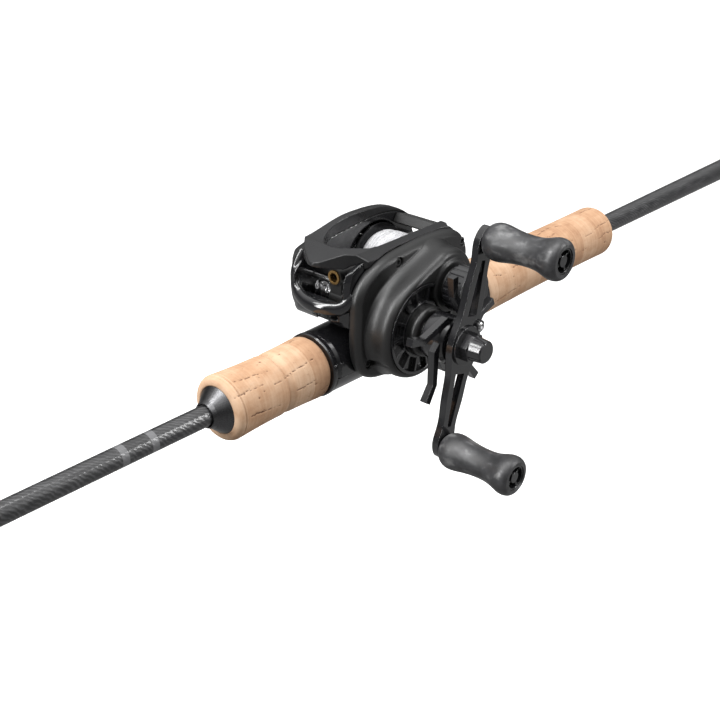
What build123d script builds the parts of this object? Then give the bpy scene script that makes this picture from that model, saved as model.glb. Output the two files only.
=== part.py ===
"""A 2.1 m two-piece casting rod with cork grips and a low-profile baitcasting reel, in millimetres.

Everything is laid out from the reel station: the point on the rod's axis under the reel, with +X towards the
butt, +Y towards the palm side and +Z up. write() moves each piece so that the row's origin is the butt end.
"""
from build123d import *
import math
import os

# ---- rod: driving sizes ----------------------------------------------------------------------------------
BUTT_X = 400.0            # butt end, from the reel station
ROD_LENGTH = 2100.0
TIP_X = BUTT_X - ROD_LENGTH
TIP_TOP_LENGTH = 6.0      # the tip-top's tube sticks out past the blank
FERRULE_X = -640.0        # mouth of the tip section
FERRULE_GRIP = 60.0       # how far the butt section goes into the tip section
BLANK_WALL = 0.85
TAPER_X = -118.0          # where the blank leaves the fore grip
TAPER_R = 4.42
TIP_R = 0.95
SLIP = 0.03               # radial clearance of running and sliding fits

SEAT_FRONT, SEAT_REAR, SEAT_R = -56.0, 50.0, 14.2
BARREL_FRONT, BARREL_R = -104.0, 8.6
CRADLE_Z = 7.0            # flat that the reel foot rests on
FOREGRIP_FRONT, FOREGRIP_REAR, FOREGRIP_R, FOREGRIP_WAIST_R = -112.0, -59.2, 14.0, 13.2
REARGRIP_REAR, REARGRIP_R = 163.0, 13.5
BUTTGRIP_FRONT, BUTTGRIP_R, BUTT_CAP_LENGTH = 342.0, 11.8, 14.0
NUT_TRAVEL = 8.0          # the fore grip unscrews this far and takes the hood with it

GUIDE_XS = [-540.0, -755.0, -935.0, -1105.0, -1250.0, -1380.0, -1495.0, -1600.0]
GUIDE_RINGS = [5.0, 4.2, 3.5, 3.0, 2.8, 2.6, 2.4, 2.2]      # outer radius of each ceramic ring
GUIDE_HEIGHTS = [13.5, 10.5, 8.6, 7.2, 6.4, 5.8, 5.3, 4.9]  # ring centre above the blank's axis

# ---- reel: driving sizes ---------------------------------------------------------------------------------
HANDLE_X, HANDLE_Z = -23.0, 14.5
GEAR_MODULE, DRIVE_TEETH, PINION_TEETH = 0.5, 82, 13
GEAR_DISTANCE = GEAR_MODULE * (DRIVE_TEETH + PINION_TEETH) / 2
SPOOL_ANGLE = math.atan2(3, 4)            # spool axis seen from the handle axis
SPOOL_X = HANDLE_X + GEAR_DISTANCE * math.cos(SPOOL_ANGLE)
SPOOL_Z = HANDLE_Z + GEAR_DISTANCE * math.sin(SPOOL_ANGLE)
COG_MODULE, DRIVE_COG, IDLER_COG, WORM_COG = 0.6, 28, 14, 20
WORM_ANGLE = math.radians(144.6)          # worm axis seen from the handle axis
IDLER_REACH = COG_MODULE * (DRIVE_COG + IDLER_COG) / 2
WORM_REACH = IDLER_REACH + COG_MODULE * (IDLER_COG + WORM_COG) / 2
IDLER_X = HANDLE_X + IDLER_REACH * math.cos(WORM_ANGLE)
IDLER_Z = HANDLE_Z + IDLER_REACH * math.sin(WORM_ANGLE)
WORM_X = HANDLE_X + WORM_REACH * math.cos(WORM_ANGLE)
WORM_Z = HANDLE_Z + WORM_REACH * math.sin(WORM_ANGLE)

FRAME_IN, FRAME_OUT = 12.2, 14.5          # side rings of the frame, as distances from the centre plane
FOOT_THICK = 2.0
LIP_Z = 29.0              # top of the front lip, under the line window
FRAME_Z = CRADLE_Z + FOOT_THICK           # underside of the frame
SPOOL_R, SPOOL_HALF, FLANGE, ARBOR_R = 17.5, 11.8, 2.2, 9.0
LINE_R = 15.6
SHAFT_R = 1.6
PLATE_Y = 14.7                            # inner face of both side plates
BASE_Y, CASE_Y = 20.0, 31.5               # outer faces of the gear case: base plate and gear bulge
CASE_R, CASE_WALL = 23.2, 1.6
BOSS_R, BOSS_Y = 11.2, 36.5               # round boss that the drive shaft comes out of
SPOOL_BULGE_R = 16.0       # the case's bulge round the spool shaft's end
RING_R, RING_DEPTH, SPOKES = 20.1, 2.6, 14
CAP_SEAT_R, CAP_R, CAP_Y = 8.0, 10.0, 43.8
CAP_BASE_R, CAP_BASE_Y = 12.0, 32.4
POST_REACH, POST_R = 6.4, 0.9             # the yoke's two posts, to either side of the spool axis
PALM_Y = 26.3
DRIVE_R = 3.0
STAR_R, STAR_ARMS, STAR_PHASE = 28.5, 5, 19.0
STAR_Y = 45.4             # inner face of the star's arms
ARM_Y, ARM_THICK = 51.6, 3.2              # inner face and thickness of the crank arm
CRANK_R, CRANK_LEAN = 45.0, 15.0          # knob axis from the handle axis, and lean from upright
KEEPER_SCREW = (6.2, 8.0)                 # retainer screw, in the crank's own frame
KNOB_Y, KNOB_LENGTH, KNOB_R, KNOB_WAIST = 55.2, 36.3, 8.6, 6.4
GUIDE_Y = -2.5                            # where the line guide stands at rest
EYE_Z, EYE_R, EYE_BORE = WORM_Z + 9.6, 3.8, 2.5
BAR_X, BAR_Z, BAR_R = WORM_X - 1.6, WORM_Z + 5.8, 1.1
THUMB_TRAVEL = 4.0
THUMB_DIRECTION = (0.5, -0.8660254)       # way that the thumb bar goes down, in x and z
YOKE_TRAVEL = 1.6


# ---- helpers ---------------------------------------------------------------------------------------------
def write(name, *shapes):
    """Writes one node. Its solids are moved from the reel station to the row frame, whose origin is the butt."""
    solids = [Pos(-BUTT_X, 0, 0) * s for shape in shapes for s in shape.solids()]
    export_step(Compound(children=solids) if len(solids) > 1 else solids[0], f"parts/{name}.step")


def turned_x(points):
    """A solid turned about the rod's axis from (x, radius) points."""
    return revolve(Plane.XZ * make_face(Polyline(*points, close=True)), Axis.X, 360)


def turned_y(x, z, points):
    """A solid turned about an axis along Y through (x, z) from (radius, y) points."""
    return Pos(x, 0, z) * revolve(make_face(Polyline(*points, close=True)), Axis.Y, 360)


def round_y(x, z, r, y0, y1):
    """A round bar along Y."""
    return Pos(x, (y0 + y1) / 2, z) * Rot(90, 0, 0) * Cylinder(r, abs(y1 - y0))


def ring_y(x, z, r_in, r_out, y0, y1):
    return round_y(x, z, r_out, y0, y1) - round_y(x, z, r_in, y0 - 1, y1 + 1)


def slab(face, y0, y1):
    """A face drawn in x and z, thickened from y0 to y1."""
    return extrude(Plane(origin=(0, y1, 0), x_dir=(1, 0, 0), z_dir=(0, -1, 0)) * face, y1 - y0)


def polar(r, degrees):
    return (r * math.cos(math.radians(degrees)), r * math.sin(math.radians(degrees)))


def smooth(points):
    return make_face(Spline(*points, periodic=True))


def inset(points, amount):
    """The points of a clockwise closed outline, each moved inwards by amount."""
    moved = []
    for i, (x, z) in enumerate(points):
        before, after = points[i - 1], points[(i + 1) % len(points)]
        dx, dz = after[0] - before[0], after[1] - before[1]
        size = math.hypot(dx, dz)
        moved.append((x + amount * dz / size, z - amount * dx / size))
    return moved


def box_between(low, high):
    size = [h - l for l, h in zip(low, high)]
    return Pos(*[(l + h) / 2 for l, h in zip(low, high)]) * Box(*size)


def bar(a, b, r):
    """A round bar from point a to point b."""
    a, b = Vector(*a), Vector(*b)
    plane = Plane(origin=a, z_dir=(b - a).normalized())
    return extrude(plane * Circle(r), (b - a).length)


def gear(teeth, module, turn, y0, y1, bore):
    """A spur gear along Y about the origin, with a tooth centred at angle turn (radians) in x and z."""
    pitch, pressure, backlash = module * teeth / 2, math.radians(20), 0.07
    tip, root, base = pitch + 0.8 * module, pitch - 1.1 * module, pitch * math.cos(math.radians(20))
    start = max(base, root)
    half = math.pi / (2 * teeth) - backlash / pitch + math.tan(pressure) - pressure
    flank = []
    for i in range(4):
        r = start + (tip - start) * i / 3
        spread = math.acos(min(1.0, base / r))
        flank.append((r, half - (math.tan(spread) - spread)))
    if root < base:
        flank.insert(0, (root, flank[0][1]))
    points = []
    for tooth in range(teeth):
        middle = turn + 2 * math.pi * tooth / teeth
        around = [(r, middle - a) for r, a in flank] + [(r, middle + a) for r, a in reversed(flank)]
        points += [(r * math.cos(a), r * math.sin(a)) for r, a in around]
    return slab(make_face(Polyline(*points, close=True)), y0, y1) - round_y(0, 0, bore, y0 - 1, y1 + 1)


# ---- rod -------------------------------------------------------------------------------------------------
def blank_r(x):
    """Outer radius of the bare blank at x."""
    slope = (TAPER_R - TIP_R) / (TAPER_X - TIP_X)
    if x <= 165:
        return TAPER_R + (x - TAPER_X) * slope
    return blank_r(165) + (x - 165) * 0.0056


def blank_core():
    """The blank's outer shape from the ferrule's end to the butt, filled, for the bores of what sits on it."""
    end = FERRULE_X - FERRULE_GRIP
    xs = [end, TAPER_X, 165, BUTT_X - 2]
    return turned_x([(end, 0)] + [(x, blank_r(x)) for x in xs] + [(BUTT_X - 2, 0)])


def butt_blank():
    end = FERRULE_X - FERRULE_GRIP
    xs = [end, 165, BUTT_X - 2]
    bore = turned_x([(end - 1, 0)] + [(x, blank_r(x) - BLANK_WALL) for x in xs]
                    + [(BUTT_X - 1, blank_r(BUTT_X) - BLANK_WALL), (BUTT_X - 1, 0)])
    return blank_core() - bore


def tip_outer_r(x):
    """Outer radius of the tip section, which is thicker over the ferrule."""
    swell_end, back_to_taper = FERRULE_X - FERRULE_GRIP - 6, FERRULE_X - FERRULE_GRIP - 26
    if x >= swell_end:
        return blank_r(FERRULE_X) + BLANK_WALL
    if x <= back_to_taper:
        return blank_r(x)
    share = (x - back_to_taper) / (swell_end - back_to_taper)
    return blank_r(back_to_taper) + share * (blank_r(FERRULE_X) + BLANK_WALL - blank_r(back_to_taper))


def tip_blank():
    stop = FERRULE_X - FERRULE_GRIP - 2
    hollow_end = TIP_X + 300
    xs = [FERRULE_X, stop - 4, stop - 24, TIP_X]
    body = turned_x([(FERRULE_X, 0)] + [(x, tip_outer_r(x)) for x in xs] + [(TIP_X, 0)])
    bore = turned_x([(FERRULE_X + 1, 0), (FERRULE_X + 1, blank_r(FERRULE_X + 1) + SLIP),
                     (stop, blank_r(stop) + SLIP), (stop, blank_r(stop) - BLANK_WALL),
                     (hollow_end, blank_r(hollow_end) - BLANK_WALL), (hollow_end, 0)])
    return body - bore


def foot_bar(x0, x1, thick, width):
    """A guide's foot: a slim bar that lies along the top of the blank."""
    r = tip_outer_r if x1 < FERRULE_X else blank_r
    low = r(x1) - 0.25
    return box_between((x0, -width / 2, low), (x1, width / 2, r(x0) + thick)) - turned_x(
        [(x0 - 1, 0), (x0 - 1, r(x0 - 1) + 0.01), (x1 + 1, r(x1 + 1) + 0.01), (x1 + 1, 0)])


def line_guide_on_blank(x, ring_r, height):
    """One rod guide: its frame, its ceramic ring and the thread wraps over its feet."""
    r = tip_outer_r if x < FERRULE_X else blank_r
    wire, foot, gap = 0.28 + ring_r * 0.11, 9.0 + ring_r, 1.3 + ring_r * 1.1
    holder = Pos(x, 0, height) * Rot(0, 90, 0) * (
        Cylinder(ring_r + 0.55, 1.1 + ring_r * 0.12) - Cylinder(ring_r, 4))
    hoop = Cylinder(ring_r, 1.6 + ring_r * 0.12) - Cylinder(ring_r * 0.72, 4)
    ceramic = Pos(x, 0, height) * Rot(0, 90, 0) * hoop
    top = r(x) + 0.35
    frame, wraps = holder, []
    for side in (-1, 1):
        near, far = x + side * gap, x + side * (gap + foot)
        frame += foot_bar(min(near, far), max(near, far), 0.7, 1.9)
        for leg in (-1, 1):
            start = (near + side * 0.5, leg * 0.45, top)
            frame += bar(start, (x + side * 0.2, leg * (ring_r + 0.1) * 0.55, height - ring_r * 0.9), wire)
        a, b = sorted((near + side * 1.6, far + side * 2.0))
        wraps.append(turned_x([(a, 0), (a, r(a) + 0.55), (a + 1.5, r(a) + 1.0), (b - 1.5, r(b) + 1.0),
                               (b, r(b) + 0.55), (b, 0)])
                     - turned_x([(a - 1, 0), (a - 1, r(a - 1) + 0.01), (b + 1, r(b + 1) + 0.01), (b + 1, 0)]))
    frame -= turned_x([(x - 30, 0), (x - 30, r(x - 30) + 0.01), (x + 30, r(x + 30) + 0.01), (x + 30, 0)])
    frame -= Pos(x, 0, height) * Rot(0, 90, 0) * Cylinder(ring_r, 6)
    return frame, ceramic, [w - frame for w in wraps]


def tip_top():
    """The tip-top: a tube glued over the tip that carries the last ring."""
    ring_r, height = 2.2, 4.3
    tube = turned_x([(TIP_X - TIP_TOP_LENGTH, 0), (TIP_X - TIP_TOP_LENGTH, TIP_R + 0.5),
                     (TIP_X + 12, blank_r(TIP_X + 12) + 0.45), (TIP_X + 12, 0)]) - turned_x(
        [(TIP_X, 0), (TIP_X, TIP_R + 0.01), (TIP_X + 13, blank_r(TIP_X + 13) + 0.01), (TIP_X + 13, 0)])
    place = Pos(TIP_X - 4, 0, height) * Rot(0, 90, 0)
    holder = place * (Cylinder(ring_r + 0.5, 1.4) - Cylinder(ring_r, 4))
    legs = [bar((TIP_X + 4, leg * 0.8, 1.2), (TIP_X - 3.8, leg * 2.0, height - 1.2), 0.4) for leg in (-1, 1)]
    frame = tube + holder + legs[0] + legs[1]
    end = TIP_X + 13
    frame -= turned_x([(TIP_X, 0), (TIP_X, TIP_R + 0.01), (end, blank_r(end) + 0.01), (end, 0)])
    frame -= place * Cylinder(ring_r, 5)
    return frame, place * (Cylinder(ring_r, 1.8) - Cylinder(ring_r * 0.7, 4))


def rounded_grip(x0, x1, r0, waist, r1, edge):
    """A cork grip: a gentle waist between its ends and rounded rims."""
    middle = (x0 + x1) / 2
    top = [Line((x0, 0), (x0, r0 - edge)), RadiusArc((x0, r0 - edge), (x0 + edge, r0), edge),
           Spline((x0 + edge, r0), (middle, waist), (x1 - edge, r1)),
           RadiusArc((x1 - edge, r1), (x1, r1 - edge), edge), Line((x1, r1 - edge), (x1, 0)),
           Line((x1, 0), (x0, 0))]
    return revolve(Plane.XZ * make_face(top), Axis.X, 360)


def grips(core):
    fore = rounded_grip(FOREGRIP_FRONT, FOREGRIP_REAR, FOREGRIP_R, FOREGRIP_WAIST_R, FOREGRIP_R - 0.2, 3.2)
    fore -= turned_x([(FOREGRIP_FRONT - 1, 0), (FOREGRIP_FRONT - 1, 10.2), (FOREGRIP_FRONT + 3, 10.2),
                      (FOREGRIP_FRONT + 3, 9.2), (-84, 9.2), (-84, 11.2), (FOREGRIP_REAR + 1, 11.2),
                      (FOREGRIP_REAR + 1, 0)])
    rear = rounded_grip(SEAT_REAR, REARGRIP_REAR, SEAT_R - 0.3, REARGRIP_R - 0.3, REARGRIP_R, 3.0) - core
    butt = rounded_grip(BUTTGRIP_FRONT, BUTT_X - BUTT_CAP_LENGTH, BUTTGRIP_R - 1.2, BUTTGRIP_R - 0.4,
                        BUTTGRIP_R, 2.0) - core
    return fore, rear, butt


def winding_check():
    """The metal cone in the front of the fore grip. It turns with the grip, clear of the blank."""
    cone = turned_x([(FOREGRIP_FRONT - 6.4, 0), (FOREGRIP_FRONT - 6.4, 5.4), (FOREGRIP_FRONT - 4.6, 6.1),
                     (FOREGRIP_FRONT - 1.6, 8.6), (FOREGRIP_FRONT + 0.2, 10.2), (FOREGRIP_FRONT + 3, 10.2),
                     (FOREGRIP_FRONT + 3, 0)])
    return cone - turned_x([(FOREGRIP_FRONT - 8, 0), (FOREGRIP_FRONT - 8, 4.9), (FOREGRIP_FRONT + 4, 4.9),
                            (FOREGRIP_FRONT + 4, 0)])


def lock_nut():
    """The nut inside the fore grip, with the black trim ring that bears on the hood."""
    return turned_x([(-84, BARREL_R + 0.2), (-84, 11.2), (FOREGRIP_REAR, 11.2), (FOREGRIP_REAR, 13.9),
                     (FOREGRIP_REAR + 0.6, 14.3), (SEAT_FRONT - 0.9, 14.3), (SEAT_FRONT - 0.3, 13.9),
                     (SEAT_FRONT - 0.3, BARREL_R + 0.2)])


def butt_cap(core):
    x0 = BUTT_X - BUTT_CAP_LENGTH
    dome = make_face([Line((x0, 0), (x0, BUTTGRIP_R - 0.4)),
                      Line((x0, BUTTGRIP_R - 0.4), (x0 + 1, BUTTGRIP_R + 0.4)),
                      Line((x0 + 1, BUTTGRIP_R + 0.4), (BUTT_X - 3.5, BUTTGRIP_R + 0.4)),
                      RadiusArc((BUTT_X - 3.5, BUTTGRIP_R + 0.4), (BUTT_X, BUTTGRIP_R - 3.1), 3.5),
                      Line((BUTT_X, BUTTGRIP_R - 3.1), (BUTT_X, 0)), Line((BUTT_X, 0), (x0, 0))])
    return revolve(Plane.XZ * dome, Axis.X, 360) - core


def rear_check(core):
    return turned_x([(REARGRIP_REAR, 0), (REARGRIP_REAR, 6.2), (REARGRIP_REAR + 2.5, 6.0),
                     (REARGRIP_REAR + 9.5, 5.35), (REARGRIP_REAR + 9.5, 0)]) - core


HOOD_FRONT, HOOD_REAR, HOOD_BORE = SEAT_FRONT + 0.0, -37.5, 12.6
FOOT_FRONT, FOOT_REAR, FOOT_WIDTH = -43.0, 26.0, 13.0
TONGUE_WIDTH = 18.0       # the sliding hood's tongue that presses on the foot


def reel_seat(core):
    """The seat: a shell round the blank with a cradle for the foot, a fixed rear hood, a trigger and a barrel."""
    inner = HOOD_BORE - 0.1
    body = turned_x([(BARREL_FRONT, 0), (BARREL_FRONT, BARREL_R), (SEAT_FRONT, BARREL_R), (SEAT_FRONT, inner),
                     (HOOD_REAR, inner), (HOOD_REAR, SEAT_R), (20, SEAT_R + 0.2), (38, SEAT_R + 0.2),
                     (SEAT_REAR, SEAT_R - 0.3), (SEAT_REAR, 0)])
    belly = turned_x([(SEAT_FRONT, 0), (SEAT_FRONT, SEAT_R - 0.2), (HOOD_REAR + 1, SEAT_R), (HOOD_REAR + 1, 0)])
    body += belly & box_between((SEAT_FRONT, -20, -20), (HOOD_REAR + 1, 20, -3.0))
    rear_hood = turned_x([(16, 0), (16, 13.8), (18.5, 15.2), (30, 15.4), (38, SEAT_R), (38, 0)])
    body += rear_hood & box_between((15, -20, 0), (39, 20, 20))
    body -= box_between((HOOD_REAR - 30, -20, CRADLE_Z), (16, 20, 30)) & box_between((SEAT_FRONT + 4, -20, 0),
                                                                                    (16, 20, 30))
    body -= box_between((SEAT_FRONT + 4, -(FOOT_WIDTH / 2 + 0.15), CRADLE_Z),
                        (FOOT_REAR + 0.4, FOOT_WIDTH / 2 + 0.15, FRAME_Z + 0.1))
    body -= box_between((SEAT_FRONT - 1, -TONGUE_WIDTH / 2 - 0.4, FRAME_Z - 0.1),
                        (SEAT_FRONT + 5, TONGUE_WIDTH / 2 + 0.4, 20))
    hook = make_face(Spline((20, -12), (24, -20), (27, -29), (31.5, -36), (34.5, -35), (34, -27), (36, -19),
                            (43, -12), (30, -8), periodic=True))
    body += slab(hook, -3.0, 3.0)
    return body - core


def sliding_hood():
    """The hood that the fore grip pushes over the front of the foot."""
    arch = turned_x([(HOOD_FRONT, 0), (HOOD_FRONT, 13.6), (HOOD_FRONT + 1.5, HOOD_R - 0.2),
                     (HOOD_REAR - 4, HOOD_R),
                     (HOOD_REAR - 1, HOOD_R), (HOOD_REAR, HOOD_R - 0.8), (HOOD_REAR, 0)])
    x0, x1 = HOOD_FRONT - 1, HOOD_REAR + 1
    arch -= turned_x([(x0, 0), (x0, HOOD_BORE), (x1, HOOD_BORE), (x1, 0)])
    arch &= box_between((-70, -20, -2.8), (-30, 20, 20))
    tongue = box_between((HOOD_FRONT + 4.6, -TONGUE_WIDTH / 2, FRAME_Z + 0.15),
                         (HOOD_REAR, TONGUE_WIDTH / 2, FRAME_Z + 5))
    tongue &= turned_x([(-70, 0), (-70, HOOD_BORE + 0.2), (-30, HOOD_BORE + 0.2), (-30, 0)])
    return arch + tongue


# ---- reel: frame and covers ------------------------------------------------------------------------------
REAR_LINE = [(-22, 48.4), (-8, 49.6), (8, 48.6), (18.5, 43.8), (22.5, 35)]
SIDE = [(-57.0, 30), (-54.4, 38.2), (-45.5, 44.3), (-35, 47.0)] + REAR_LINE + [
    (21.3, 27), (17.5, 20.5), (11, 15), (2, 11), (-12, 9.6), (-28, 10.6), (-42, 14.6), (-53.2, 20.5)]
CASE = [(-50.4, 28), (-48.2, 35.5), (-37, 43.8), (-22, 46.4), (-8, 47.3), (8, 46.8), (18.0, 43.4), (22.8, 35),
        (21.3, 26), (14.5, 15.5), (3, 4), (-9, -4.6), (-22, -8.4), (-34, -8.4), (-44.5, -4.6), (-49.2, 3),
        (-50.8, 15)]
HOOD_R = 14.3             # outer radius of the seat's sliding hood


HOOD_HALF = 15.8          # half the cowl's width
COWL_WALL = 1.4           # the cowl's thickness over the gear-side ring
TANG_LOW, TANG_HIGH = (11.3, 40.8), (13.9, 42.6)    # the thumb bar's tang, in x and z


def tang_path():
    """The opening that the thumb bar's tang sweeps, with room all round."""
    gap = 0.3
    dx, dz = (THUMB_TRAVEL * d for d in THUMB_DIRECTION)
    x0, z0 = TANG_LOW[0] - gap, TANG_LOW[1] - gap
    x1, z1 = TANG_HIGH[0] + gap, TANG_HIGH[1] + gap
    return make_face(Polyline((x0, z0), (x0, z1), (x1, z1), (x1 + dx, z1 + dz), (x1 + dx, z0 + dz),
                              (x0 + dx, z0 + dz), close=True))


def hood_path():
    """The room that the sliding hood needs under the reel."""
    return turned_x([(-75, 0), (-75, HOOD_R + 0.5), (HOOD_REAR + 0.8, HOOD_R + 0.5), (HOOD_REAR + 0.8, 0)])


def above_roof(drop):
    """The space over the cowl's top: low and chamfered by the gear case, high on the palm side."""
    line = [(-15.8, 45.6), (-12.6, 49.2), (-9.5, 49.9), (3.5, 52.4), (9, 54.6)]
    points = [(y, z - drop) for y, z in line]
    points = [(-20, points[0][1] - 4.6)] + points + [(9, 70), (-20, 70)]
    face = make_face(Plane.YZ * Polyline(*points, close=True))
    return Pos(-60, 0, 0) * extrude(face, 90, dir=(1, 0, 0))


def nose_plan():
    """The reel's nose seen from above: bowed, and further back on the gear side."""
    arc = Spline((-48.5, -16.5), (-53.8, -10), (-57.0, 0), (-56.8, 8), (-54.6, 15), (-48, 23.5), (-38, 30))
    rest = Polyline((-38, 30), (40, 30), (40, -16.5), (-48.5, -16.5))
    return extrude(make_face([arc, rest]), 80)


def reel_frame():
    """The one-piece frame: two side rings joined by a floor, a front lip and a rear pillar."""
    body = slab(smooth(SIDE), -FRAME_OUT, FRAME_OUT) & nose_plan()
    body -= above_roof(COWL_WALL)
    inner = round_y(SPOOL_X, SPOOL_Z, SPOOL_R + 0.5, -30, 30)
    front = make_face(Polyline((-48.6, 22.0), (-50.6, 30), (-49.5, 36.5), (-44, 42.4), (-30, 46.0), (-14, 47.2),
                               (-14, 20), (-20, 13.2), (-30, 14.0), (-40, 17.6), close=True))
    top = make_face(Polyline((-37, 40), (-37, 60), (30, 60), (30, 35), (12, 35), close=True))
    hollow = slab(front, -FRAME_IN, FRAME_IN) + slab(top, -FRAME_IN, FRAME_IN)
    hollow += round_y(SPOOL_X, SPOOL_Z, SPOOL_R + 0.7, -FRAME_IN, FRAME_IN)
    hollow += box_between((-70, -FRAME_IN, LIP_Z), (-36, FRAME_IN, 60))
    body -= hollow
    body -= inner
    body -= box_between((-60, -10, LIP_Z - 7.2), (-40, 2, LIP_Z - 4.4))
    body -= hood_path()
    for x, z, r in ((WORM_X, WORM_Z, 3.0), (BAR_X, BAR_Z, BAR_R), (IDLER_X, IDLER_Z, 1.2)):
        body -= round_y(x, z, r, -30, 30 if r != 1.2 else 0)
    return body - slab(tang_path(), -30, -FRAME_IN + 1) - box_between((-60, -20, 0), (30, 20, FRAME_Z))


def reel_foot():
    outline = make_face(Polyline((FOOT_FRONT, CRADLE_Z), (FOOT_FRONT, CRADLE_Z + 1.3), (-30, FRAME_Z),
                                 (14, FRAME_Z), (FOOT_REAR, CRADLE_Z + 1.3), (FOOT_REAR, CRADLE_Z), close=True))
    ends = Plane.XY * SlotOverall(FOOT_REAR - FOOT_FRONT, FOOT_WIDTH)
    plan = extrude(Pos((FOOT_REAR + FOOT_FRONT) / 2, 0, 0) * ends, 30)
    return slab(outline, -FOOT_WIDTH / 2, FOOT_WIDTH / 2) & plan


def front_hood():
    """The cowl over the line guide: pointed in front, with two arms that run back along the side rings.

    Its top falls away to the gear side, where the arm is low and chamfered, and stands highest on the palm side.
    """
    top = Spline((-46.4, 50.4), (-38, 51.4), (-30, 53.0), (-21, 54.2), (-11.5, 54.2), (2.5, 52.6), (12, 49.0),
                 (20.5, 43.4))
    rest = Polyline((20.5, 43.4), (18, 41), (6, 46.0), (-37, 43.0), (-44, 42.4), (-57.0, 44.4), (-56.4, 46.2),
                    (-46.4, 50.4))
    body = slab(make_face([top, rest]), -HOOD_HALF, HOOD_HALF)
    body -= above_roof(0)
    plan = make_face(Polyline((-57, 0.6), (-56.0, 3.4), (-50.8, 10.8), (-45, HOOD_HALF), (21, HOOD_HALF),
                              (21, 0), (14, 0), (14, -HOOD_HALF), (-40, -HOOD_HALF), (-47.5, -10.4), (-55.4, -2.6),
                              close=True))
    body &= extrude(plan, 80)
    bow = Spline((-26, FRAME_IN), (-38, 9.6), (-45, 4), (-46.2, 0), (-45, -4), (-38, -9.6), (-26, -FRAME_IN),
                 tangents=[(-1, 0), (1, 0)])
    back = Polyline((-26, -FRAME_IN), (30, -FRAME_IN), (30, FRAME_IN), (-26, FRAME_IN))
    opening = make_face([bow, back])
    body -= extrude(opening, 80)
    body -= slab(smooth(inset(SIDE, -0.05)), -FRAME_OUT - 0.05, 20) - above_roof(COWL_WALL - 0.05)
    return body - slab(smooth(inset(CASE, -0.35)), -20, -FRAME_OUT)


def domed(points, levels, sign):
    """A cover built up from insets of one outline: levels are (distance from the centre plane, inset)."""
    sections = []
    for y, amount in levels:
        plane = Plane(origin=(0, sign * y, 0), x_dir=(1, 0, 0), z_dir=(0, -1, 0))
        sections.append(plane * smooth(inset(points, amount)))
    return loft(sections)


def rim_turned(x, z, r, y0, y1, edge):
    """A round boss from y0 out to y1 (both distances on the handle side), with a rounded outer rim."""
    profile = make_face([Line((0, -y0), (r, -y0)), Line((r, -y0), (r, -y1 + edge)),
                         RadiusArc((r, -y1 + edge), (r - edge, -y1), edge), Line((r - edge, -y1), (0, -y1)),
                         Line((0, -y1), (0, -y0))])
    return Pos(x, 0, z) * revolve(profile, Axis.Y, 360)


SCREWS = [(-25.0, 42.2), (18.6, 39.4), (-43.8, 1.8)]
SCREW_R = 1.9             # heads of the case screws


def bulge_outline():
    """A clockwise outline round the drive gear's and the spool shaft's ends, with straight sides between them."""
    big, small = CASE_R - 0.6, SPOOL_BULGE_R
    spread = math.degrees(math.acos((big - small) / GEAR_DISTANCE))
    along = math.degrees(SPOOL_ANGLE)
    points = []
    for k in range(6):
        x, z = polar(small, along + spread - 2 * spread * k / 5)
        points.append((SPOOL_X + x, SPOOL_Z + z))
    first = polar(big, along - spread)
    points.append(((points[-1][0] + HANDLE_X + first[0]) / 2, (points[-1][1] + HANDLE_Z + first[1]) / 2))
    for k in range(11):
        x, z = polar(big, along - spread - (360 - 2 * spread) * k / 10)
        points.append((HANDLE_X + x, HANDLE_Z + z))
    points.append(((points[-1][0] + points[0][0]) / 2, (points[-1][1] + points[0][1]) / 2))
    return points


def gear_case():
    """The handle-side cover: a base plate, the gear bulge, and bosses for the drive shaft and the spool shaft."""
    body = domed(CASE, [(PLATE_Y, 0), (BASE_Y - 1.6, 0.5), (BASE_Y, 2.2)], -1)
    levels = [(BASE_Y - 2, -1.8), (BASE_Y + 0.5, -1.2), (BASE_Y + 3.5, -0.2), (CASE_Y - 3.4, 0), (CASE_Y - 1.0, 0.8),
              (CASE_Y, 2.3)]
    body += domed(bulge_outline(), levels, -1)
    body -= round_y(HANDLE_X, HANDLE_Z, RING_R + 0.05, -CASE_Y - 1, -CASE_Y + RING_DEPTH)
    body += rim_turned(HANDLE_X, HANDLE_Z, BOSS_R, CASE_Y - 4, BOSS_Y, 2.0)
    body += rim_turned(SPOOL_X, SPOOL_Z, CAP_BASE_R, PLATE_Y + 1, CAP_BASE_Y, 1.2)
    body += round_y(SPOOL_X, SPOOL_Z, CAP_SEAT_R, -39.5, -CAP_BASE_Y + 1)
    body -= round_y(HANDLE_X, HANDLE_Z, CASE_R - 0.5 - CASE_WALL, -CASE_Y + RING_DEPTH + CASE_WALL, -PLATE_Y + 1)
    body -= round_y(SPOOL_X, SPOOL_Z, 9.0, -27.0, -PLATE_Y + 1)
    for x, z, r in ((WORM_X, WORM_Z, 7.2), (IDLER_X, IDLER_Z, 5.4)):
        body -= round_y(x, z, r, -BASE_Y + 1.4, -PLATE_Y + 1)
    body -= slab(tang_path(), -17.4, -PLATE_Y + 1)
    body -= round_y(HANDLE_X, HANDLE_Z, 7.0, -BOSS_Y - 1, -20)
    body -= round_y(SPOOL_X, SPOOL_Z, 4.5, -34.0, -20)
    body -= round_y(SPOOL_X, SPOOL_Z, 3.0, -45, -20)
    for side in (-1, 1):
        body += at_spool(round_y(side * POST_REACH, 0, POST_R, -27.5, -16.6))
    for x, z in SCREWS:
        body -= round_y(x, z, 1.3, -30, 0)
        body -= round_y(x, z, SCREW_R + 0.2, -30, -BASE_Y + 2.2)
    return body - hood_path()


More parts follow.
